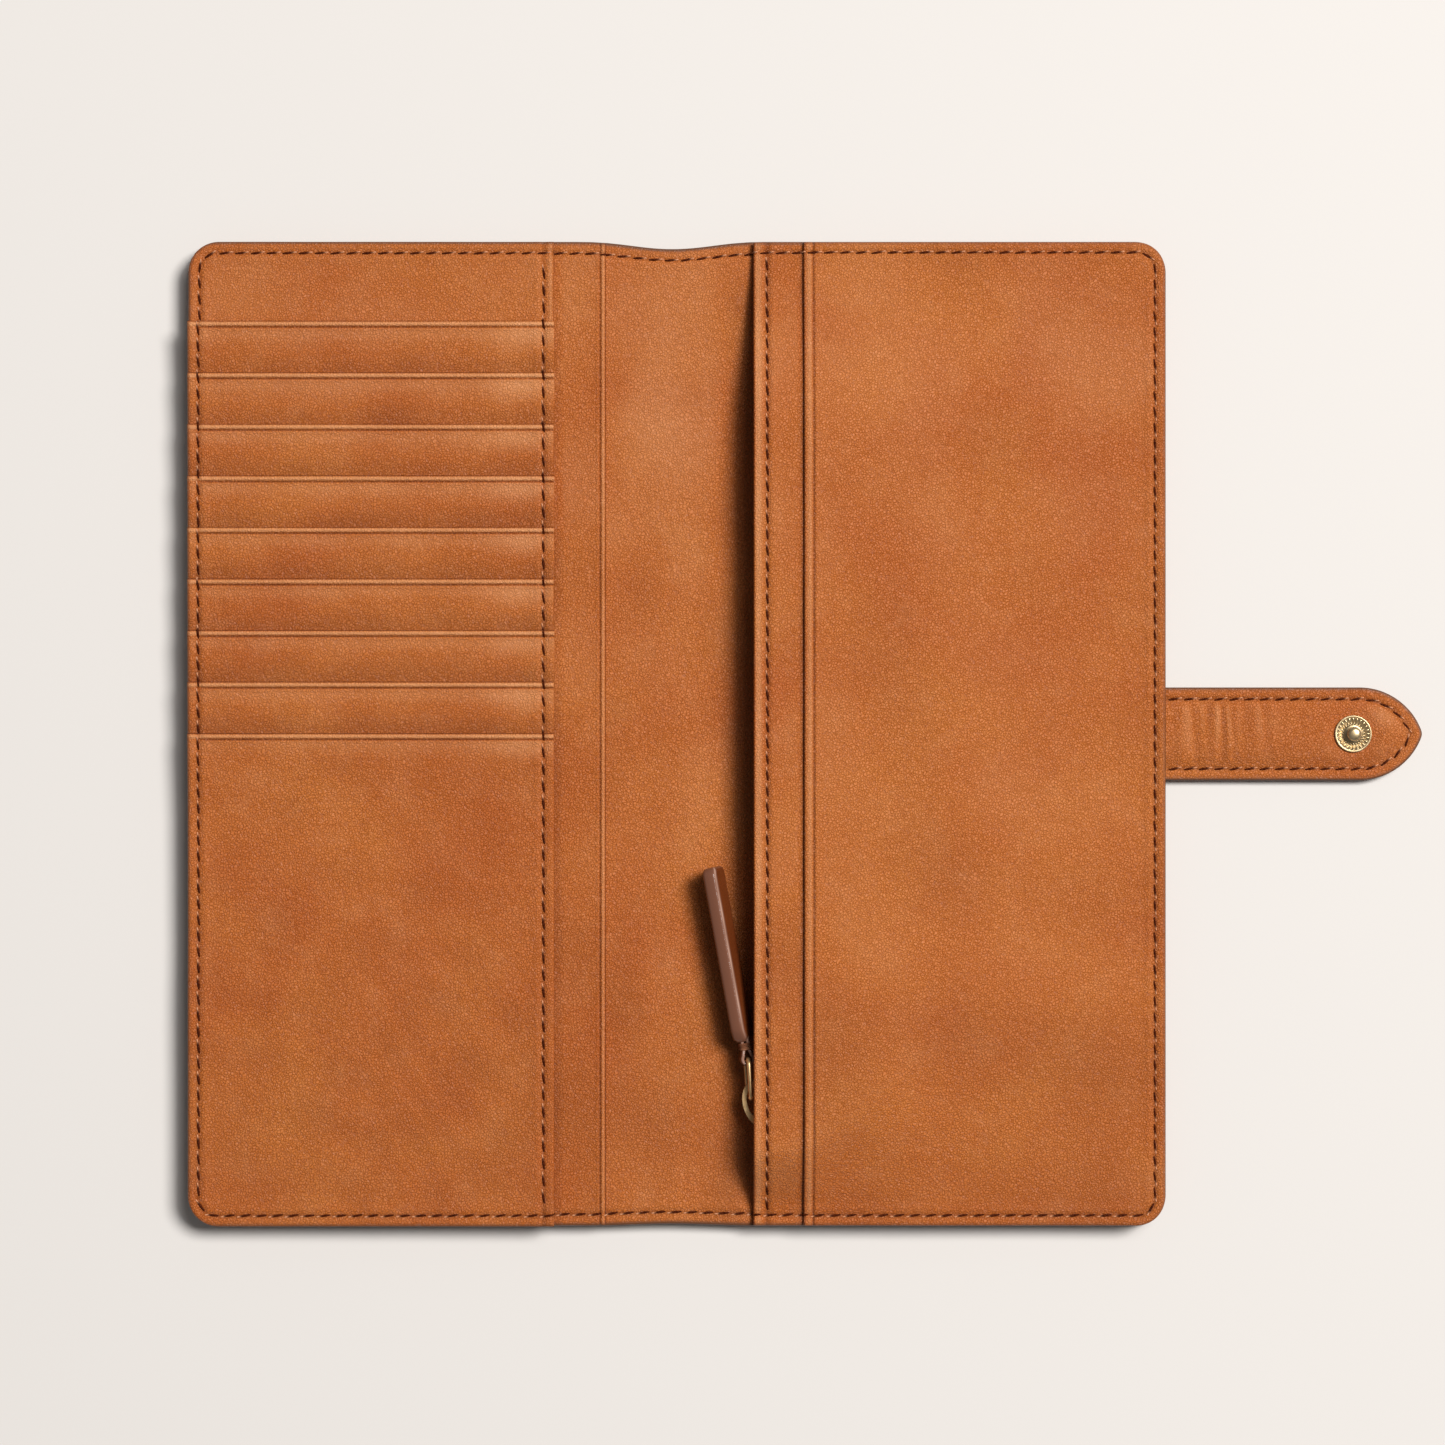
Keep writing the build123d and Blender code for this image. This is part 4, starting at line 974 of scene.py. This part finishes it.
def strap_wave(x, y):
    """Soft cross wrinkles where the strap bends, fading towards the tip and the seams."""
    root = STRAP_FOLD_1[0]
    fade = smooth((x - root) / 3) * smooth((root + 27 - x) / 18)
    fade = fade * (0.45 + 0.55 * smooth((y + 6) / 9)) * smooth((strap_edge_distance(x, y) - 2.5) / 1.6)
    bend = 1.7 * np.sin(x * 0.41 + 0.5) + 0.8 * np.sin(x * 0.93 + 0.21 * y)
    uneven = 0.65 + 0.35 * np.sin(x * 0.77 + 1.9 + 0.15 * y)
    return fade * uneven * np.sin((x - root) * 2.2 + bend + 0.12 * y)


def strap_relief(x, y):
    """Height over the strap's flat top: padded between the seams, wrinkled, dished under the stud."""
    inwards = strap_edge_distance(x, y)
    z = 0.09 * bell(inwards - 1.1, 0.7) - 0.22 * bell(inwards - STRAP_SEAM, 0.4)
    z = z + 0.42 * smooth((inwards - STRAP_SEAM - 0.1) / 2.6) + 0.17 * strap_wave(x, y)
    from_stud = np.hypot(x - STUD[0], y)
    return np.where(from_stud < 6.5, z * smooth((from_stud - 3.4) / 2.6), z)


def strap_tone(x, y):
    inwards = strap_edge_distance(x, y)
    # painted light and shade over the wrinkles, and painted shade in the sewn line
    t = 0.34 * strap_wave(x, y) - 0.38 * bell(inwards - STRAP_SEAM, 0.3)
    # painted highlight on the padded tip
    t = t + 0.30 * bell(np.hypot(x - 137, (y - 3.6) / 0.8), 3.2) * smooth(inwards - 2.4)
    # painted shade over the lower half of the strap
    return t - 0.14 * smooth((2 - y) / 8) * smooth(inwards - 2.3)


def strap_stations(x0, x1):
    """Places along the strap, close together where it bends, at the stud and round the nose."""
    xs = lines(x0, x1, 1.0, [(STRAP_FOLD_1[0] + 12, 14, 0.45), (STUD[0], 6, 0.4)])
    if x1 < OGIVE_START:
        return xs
    tail = 2.2 * (1 - np.sin(np.linspace(0, math.pi / 2, 12)))
    xs = np.concatenate([xs[xs < STRAP_END - 2.2], STRAP_END - tail])
    return np.array(sorted(set(np.round(xs, 5))))


def strap_layer(name, x0, x1, low, high, is_top, cut):
    """One stretch of one strap layer, as a grid squeezed into the strap's outline."""
    inner = lines(STRAP_RIM + 0.15, STRAP_HALF, 0.6, [(STRAP_SEAM, 0.9, 0.16)])
    share = 1 - np.append(rim_steps(STRAP_RIM), inner) / STRAP_HALF
    shares = np.concatenate([-share, share[::-1][1:]])
    x = np.repeat(strap_stations(x0, x1)[:, None], len(shares), 1)
    y = shares * np.maximum(strap_half_width(x), 0.02)
    inwards = strap_edge_distance(x, y)
    drop = rim_drop(inwards, STRAP_RIM)
    if is_top:
        z_low = np.full_like(x, low)
        z_top = high + strap_relief(x, y) - drop
    else:
        z_low = low + drop + 0.12 * bell(inwards - STRAP_SEAM, 0.4)
        z_top = np.full_like(x, high)
    z_top = np.maximum(z_top, z_low + 0.04)
    paint = smooth(1.3 - inwards / PAINT_WIDTH)
    return leather_slab(name, (x, y), (z_top, z_low), strap_tone(x, y), paint, LEATHER, cut)


def strap_mount(part):
    """The two bodies and the fold of one stretch of the strap."""
    bodies, fold = {
        "root": (("back_half", "strap_mid"), STRAP_FOLD_1),
        "end": (("strap_mid", "strap_tip"), STRAP_FOLD_2),
    }[part]
    return bending(*bodies, fold[0], fold[2], STRAP_REACH)


def build_strap():
    """Two leather layers, each cut once in the stretch between the strap's two bends."""
    for layer in ("inner", "outer"):
        low, high = cad(f"strap_mid_{layer}")[0][2], cad(f"strap_mid_{layer}")[1][2]
        for part, x0, x1, cut, nodes in (
            ("root", STRAP_ROOT, STRAP_CUT, "e", ("base", "mid")),
            ("end", STRAP_CUT, STRAP_END, "w", ("mid", "tip")),
        ):
            piece = strap_layer(f"strap_{part}_{layer}", x0, x1, low, high, layer == "inner", cut)
            hand_over(piece, strap_mount(part), [f"strap_{n}_{layer}" for n in nodes])


def strap_surface(x, y):
    return float(strap_relief(np.array([x]), np.array([y]))[0])


def strap_stitches(places, height_of=outer_bed, level=STRAP_LOW):
    return stitches(places, STRAP_PITCH, 12.0, height_of, level)


def strap_seam_places(side):
    """Places and headings along one side of the strap's seam, from its root to the tip."""
    seam_r = OGIVE_R - STRAP_SEAM
    straight = OGIVE_START - STRAP_FOLD_1[0]
    total = straight + seam_r * math.acos((OGIVE_R - STRAP_HALF) / seam_r)
    count = int(total / STRAP_PITCH)
    places = []
    for i in range(count):
        s = (i + 0.5) * total / count
        turn = max(0.0, s - straight) / seam_r
        x = STRAP_FOLD_1[0] + min(s, straight) + seam_r * math.sin(turn)
        y = STRAP_HALF - OGIVE_R + seam_r * math.cos(turn)
        places.append((x, side * y, -side * turn))
    return places


def build_strap_stitches():
    """The seam on both faces of the strap, and the rectangle that sews its root to the cover."""
    places = strap_seam_places(-1) + strap_seam_places(1)
    for part, node, some in (
        ("root", "strap_mid_stitches", [p for p in places if p[0] < STRAP_CUT]),
        ("end", "strap_tip_stitches", [p for p in places if p[0] >= STRAP_CUT]),
    ):
        both = strap_stitches(some, strap_surface, None) + strap_stitches(some)
        stitch_piece(f"strap_stitching_{part}", node, strap_mount(part), both)
    seam_y = STRAP_HALF - STRAP_SEAM
    x0, x1 = STRAP_ROOT + STRAP_SEAM, STRAP_FOLD_1[0] - 0.2
    anchor = []
    for ends in ((x0, -seam_y, x1, -seam_y), (x0, seam_y, x1, seam_y), (x0, -seam_y, x0, seam_y)):
        anchor += straight_places(*ends, STRAP_PITCH)
    parts = strap_stitches(anchor)
    stitch_piece("strap_anchor_stitching", "strap_anchor_stitches", riding("back_half"), parts)


# ------------ zip, pull and snap

WIRE_R = 0.42
LINK_BEND = 1.1
TAB_T = 3.0
TAB_WIDTH = 7.0
TAB_LEAN = math.radians(16)
TAB_ROOT = 3.5
TAB_END_R = 1.7
NECK_WIDTH = 4.4
STRIP_T = 0.78
LOOP_R = 1.05
BINDING_R = 0.2
BINDING_TURNS = 4.5


def local_frame(origin, x_dir, y_dir):
    """Turns local (x, y, z) lists into points, with z = x cross y."""
    x_dir = unit(x_dir)
    y_dir = unit(y_dir - x_dir * y_dir.dot(x_dir))
    z_dir = np.cross(x_dir, y_dir)
    return lambda points: origin + np.asarray(points, float) @ np.array([x_dir, y_dir, z_dir])


def soft_box(half_wide, half_deep, sides, power_wide, power_deep):
    """A ring of points round a soft-cornered rectangle, as its two coordinates."""
    c, s = np.cos(ring_turns(sides)), np.sin(ring_turns(sides))
    return half_wide * np.sign(s) * np.abs(s) ** power_wide, half_deep * np.sign(c) * np.abs(c) ** power_deep


def wire_loop(path, radius, sides=16):
    """Points and faces of a wire along a closed flat path."""
    along = unit(np.roll(path, -1, 0) - np.roll(path, 1, 0))
    middle = path.mean(0)
    normal = unit(np.cross(path[0] - middle, path[len(path) // 4] - middle))
    outward = np.cross(along, normal)
    turns = ring_turns(sides)[None, :, None]
    rim = outward[:, None] * np.cos(turns) + normal * np.sin(turns)
    points = (path[:, None] + radius * rim).reshape(-1, 3)
    index = np.arange(len(points)).reshape(-1, sides)
    ahead, across = np.roll(index, -1, 0), np.roll(index, -1, 1)
    faces = np.stack([index, across, np.roll(ahead, -1, 1), ahead], -1).reshape(-1, 4).tolist()
    return points, faces


def build_link():
    """The rectangular wire link between the slider's bail and the tab."""
    start, end = joint_place("pull_swing"), joint_place("tab_swing")
    low, high = cad("pull_link")
    half_width = (high[2] - low[2]) / 2 - WIRE_R
    half_length = np.linalg.norm(end - start) / 2
    path = []
    for cx, cy, first in ((1, 1, 0), (-1, 1, 90), (-1, -1, 180), (1, -1, 270)):
        for a in np.radians(np.linspace(first, first + 90, 9)):
            path.append((cx * (half_length - LINK_BEND) + LINK_BEND * math.cos(a),
                         cy * (half_width - LINK_BEND) + LINK_BEND * math.sin(a), 0))
    place = local_frame((start + end) / 2, end - start, np.array(joint_named("pull_swing")["axis"]))
    points, faces = wire_loop(place(path), WIRE_R)
    link = mesh_object("pull_link_wire", points, faces, {"rest": points}, BRASS_ZIP)
    hand_over(link, riding("pull_link"), ["pull_link"])


def tab_frames():
    """Frames of the tab's blade and of its neck, and its reach, from the swing joint and the CAD box."""
    bar = joint_place("tab_swing")
    low, high = cad("pull_tab")
    heading = np.array([low[0] + TAB_T * 0.81 - bar[0], high[1] - 0.15 - bar[1], 0])
    reach = float(np.linalg.norm(heading))
    side = np.array([heading[1], -heading[0], 0]) / reach
    wide = np.array([0, 0, math.cos(TAB_LEAN)]) - side * math.sin(TAB_LEAN)
    blade = local_frame(np.array([bar[0], bar[1], (low[2] + high[2]) / 2]), heading, wide)
    neck = local_frame(bar, heading, -np.array(joint_named("tab_swing")["axis"]))
    return blade, neck, reach


def blade_mesh(place, reach):
    """Rings of a soft-cornered rectangle, narrowing to the neck and rounded at the far end."""
    stations = np.concatenate([
        TAB_ROOT + np.array([0.0, 0.12, 0.35, 0.7, 1.2, 1.8, 2.6, 3.6]),
        np.linspace(TAB_ROOT + 5, reach - 3, 14),
        reach - TAB_END_R * (1 - np.sin(np.linspace(0, math.pi / 2, 10))),
    ])
    sides = 56
    turns = ring_turns(sides)
    points, paint, tone, gleam = [], [], [], []
    for x in stations:
        from_root = x - TAB_ROOT
        half = TAB_WIDTH / 2 - rim_drop(reach - x, TAB_END_R)
        half = half - 1.0 * (1 - smooth(from_root / 2.6)) - 0.5 * (1 - smooth(from_root / 0.5))
        thick = TAB_T / 2 * (1 - 0.5 * rim_drop(reach - x, 0.9) / 0.9)
        thick = thick * (0.7 + 0.3 * smooth(from_root / 0.9))
        wide, deep = soft_box(half, thick, sides, 0.42, 0.42)
        wide = wide + np.sign(np.sin(turns)) * 0.12 * (1 - (deep / max(thick, 0.01)) ** 2)
        over = np.abs(wide) - half
        points.append(np.stack([np.full_like(wide, x), wide, deep], -1))
        paint.append(np.maximum(smooth((over + 1.0) / 0.5), smooth((x - reach + 0.5) / 0.4)))
        tone.append(-0.15 * bell(over + 0.9, 0.4))
        # gleam: a painted highlight along the corner between the painted top face and the side
        along = smooth(from_root / 3) * (0.75 + 0.25 * math.sin(x * 0.7))
        gleam.append(0.7 * along * bell(turns - math.radians(52), math.radians(9)))
    marks = {"paint": np.concatenate(paint), "tone": np.concatenate(tone), "gleam": np.concatenate(gleam)}
    return place(np.concatenate(points)), loop_faces(len(stations), sides), marks


def neck_mesh(place):
    """A strip of leather that comes out of the blade, goes round the link and back in."""
    sides = 20
    angles = np.radians(np.linspace(50, 310, 22))
    lower = [(5.6, 0.56), (4.4, 0.56), (3.2, 0.54), (2.4, 0.50), (1.7, 0.52), (1.1, 0.72)]
    around = [(LOOP_R * math.cos(a), LOOP_R * math.sin(a)) for a in angles]
    path = np.array(lower + around + [(x, -z) for x, z in reversed(lower)])
    along = unit(np.gradient(path, axis=0))
    wide, deep = soft_box(NECK_WIDTH / 2, STRIP_T / 2, sides, 0.35, 0.7)
    points = []
    for (x, z), (ax, az) in zip(path, along):
        pinch = 1 - 0.16 * bell(x - 2.4, 0.7)
        points.append(np.stack([x - az * deep, wide * pinch, z + ax * deep], -1))
    points = np.concatenate(points)
    paint = np.tile(smooth((np.abs(wide) - NECK_WIDTH / 2 + 0.35) / 0.2), len(path))
    # gleam: a faint painted highlight on the painted edges
    marks = {"paint": paint, "tone": np.zeros(len(points)), "gleam": paint * 0.25}
    return place(points), loop_faces(len(path), sides), marks


def build_tab():
    """The leather pull: a thick blade on edge with a painted rim, and a neck looped round the link."""
    blade, neck, reach = tab_frames()
    points, faces, marks = join_meshes([blade_mesh(blade, reach), neck_mesh(neck)])
    tab = mesh_object("pull_tab_leather", points, faces, {"rest": points, **marks}, LEATHER_TAB)
    hand_over(tab, riding("pull_tab"), ["pull_tab"])


def build_binding():
    """Thread wound round the neck of the tab."""
    steps, sides = 34, 7
    path = []
    for i in range(int(BINDING_TURNS * steps)):
        c, s = math.cos(math.tau * i / steps), math.sin(math.tau * i / steps)
        wide = (NECK_WIDTH / 2 * 0.86 + 0.1) * math.copysign(abs(s) ** 0.5, s)
        path.append((1.85 + 0.27 * i / steps, wide, 1.08 * math.copysign(abs(c) ** 0.6, c)))
    points, faces = tube(tab_frames()[1](path), BINDING_R, sides, up=(0.3, 1, 0.1))
    order = np.arange(len(points))
    # pale: a paler thread all round, with a painted highlight on one side of each turn
    marks = {"along": order / sides * 0.35, "pale": 0.35 + 0.25 * np.sin(order * 0.9)}
    binding = mesh_object("pull_binding_thread", points, faces, {"rest": points, **marks}, THREAD)
    hand_over(binding, riding("pull_tab"), ["pull_tab_binding"])


def turned_part(name, node, profile, count, ribs=None):
    """A turned brass part on the stud's axis, from an outline of (radius, height) points."""
    turns = ring_turns(count)
    rows = []
    for r, z in profile:
        height = np.full(count, float(z))
        if ribs and ribs[0] < r < ribs[1]:
            inner, outer, number, depth = ribs
            share = math.sin(math.pi * (r - inner) / (outer - inner)) ** 0.5
            height += depth * share * np.cos(number * turns)
        rows.append(np.stack([STUD[0] + r * np.cos(turns), STUD[1] + r * np.sin(turns), height], -1))
    points = np.concatenate(rows)
    piece = mesh_object(name, points, loop_faces(len(rows), count), {"rest": points}, BRASS_PALE)
    hand_over(piece, riding("strap_tip"), [node])


def rounded(points, steps=5, share=0.35):
    """Rounds the inner corners of an open outline with short arcs."""
    points = [np.array(p, float) for p in points]
    result = [points[0]]
    for before, corner, after in zip(points, points[1:], points[2:]):
        a = corner + (before - corner) * share
        b = corner + (after - corner) * share
        for t in np.linspace(0, 1, steps + 1):
            result.append(a * (1 - t) ** 2 + 2 * corner * t * (1 - t) + b * t * t)
    return result + [points[-1]]


def build_snap():
    """The stud with its ribbed dish and domed head, and the cap behind it."""
    axis_r, post_r, neck_z = 0.02, 0.75, 1.28
    low, high = cad("snap_stud")
    r = (high[0] - low[0]) / 2
    rim = [
        (axis_r, neck_z), (post_r, neck_z), (post_r, low[2]), (r, low[2]), (r, 0.42), (r - 0.12, 0.49),
        (r - 0.38, 0.48), (r - 0.48, 0.36),
    ]
    dish = [(x, 0.16 + 0.18 * (x - 1.95) / (r - 2.5)) for x in np.linspace(r - 0.55, 1.95, 15)]
    head = [
        (1.86, 0.20), (1.7, 0.42), (1.3, 0.49), (1.1, 0.62), (1.04, 1.0), (1.12, 1.2), (1.34, 1.38),
        (1.42, 1.66), (1.34, 1.94), (1.12, 2.18), (0.8, 2.32), (0.4, 2.38), (axis_r, high[2]),
    ]
    outline = rounded(rim, 3, 0.25) + dish + rounded(head, 3, 0.3)
    turned_part("snap_stud_brass", "snap_stud", outline, 384, ribs=(1.93, r - 0.54, 24, 0.14))
    low, high = cad("snap_cap")
    r, bottom = (high[0] - low[0]) / 2, low[2]
    under = cad("strap_tip_outer")[0][2] - PANEL_GAP
    turned_part("snap_cap_brass", "snap_cap", rounded([
        (axis_r, bottom), (r * 0.5, bottom + 0.05), (r * 0.8, bottom + 0.2), (r - 0.35, bottom + 0.42),
        (r - 0.1, under - 0.35), (r, under - 0.15), (r - 0.05, under), (0.7, under), (0.7, high[2]),
        (axis_r, high[2]),
    ]), 128)


def finish_cad_pieces():
    """Carried-over CAD nodes take a node material and, on metal, a small bevel."""
    for nodes, material, bevel in (
        (("zip_teeth_lower", "zip_teeth_upper"), BRASS_ZIP, 0.12),
        (("zip_bottom_stop", "zip_top_stops", "zip_slider"), BRASS_ZIP, 0.15),
        (("snap_socket", "snap_spring", "snap_socket_cap"), BRASS_PALE, 0.1),
        (("zip_tape_lower", "zip_tape_upper"), TAPE, 0),
        (("front_stiffener", "back_stiffener"), BOARD, 0),
        (("card_slot_linings",), SLOT_CLOTH, 0),
    ):
        for node in nodes:
            piece = frame["nodes"][node]
            piece.data.materials.clear()
            piece.data.materials.append(material)
            if bevel:
                modifier = piece.modifiers.new("worn_edges", "BEVEL")
                modifier.width = bevel * MM
                modifier.segments = 2
                modifier.limit_method = "ANGLE"
                modifier.harden_normals = False


# ------------ stage, lights and camera, in metres


def build_stage():
    size, z = 3.0, (FLOOR_Z - 0.02) * MM
    mesh = bpy.data.meshes.new("studio_floor")
    corners = [(-size, -size, z), (size, -size, z), (size, size, z), (-size, size, z)]
    mesh.from_pydata(corners, [], [(0, 1, 2, 3)])
    mesh.materials.append(Nodes("pale_floor").finish(rgb(225, 222, 219), 0.9))
    floor = bpy.data.objects.new("studio_floor", mesh)
    bpy.context.scene.collection.objects.link(floor)


def area_light(name, place, target, size, power, colour):
    data = bpy.data.lights.new(name, "AREA")
    data.shape, data.size, data.energy, data.color = "DISK", size, power, colour
    lamp = bpy.data.objects.new(name, data)
    lamp.location = place
    lamp.rotation_euler = (Vector(target) - Vector(place)).to_track_quat("-Z", "Y").to_euler()
    bpy.context.scene.collection.objects.link(lamp)


def build_lights():
    area_light("key", (1.5, 0.85, 2.8), (0, 0, 0), 1.1, 110.0, (1.0, 0.97, 0.94))
    area_light("top_soft", (0.8, 1.0, 2.6), (0, 0.02, 0), 0.9, 19.0, (1.0, 0.98, 0.96))
    world = bpy.data.worlds.new("studio")
    world.use_nodes = True
    colour, strength = world.node_tree.nodes["Background"].inputs[:2]
    colour.default_value = (1.0, 0.985, 0.965, 1)
    strength.default_value = 0.12
    bpy.context.scene.world = world


def build_camera():
    """Straight down, as wide as the wallet and its strap with a margin."""
    frame_width, middle, surface_z = 0.2786, (0.0088, 0.0022), 0.004
    data = bpy.data.cameras.new("camera")
    data.lens, data.sensor_width, data.clip_end = 100.0, 36.0, 20
    camera = bpy.data.objects.new("camera", data)
    camera.location = (*middle, surface_z + frame_width * data.lens / data.sensor_width)
    bpy.context.scene.collection.objects.link(camera)
    bpy.context.scene.camera = camera
    bpy.context.scene.view_settings.view_transform = "Standard"


build_folding_sheets()
build_left_panels()
build_card_pockets()
build_right_panels()
build_edge_stitches()
build_panel_stitches()
build_strap()
build_strap_stitches()
finish_cad_pieces()
build_link()
build_tab()
build_binding()
build_snap()
build_stage()
build_lights()
build_camera()
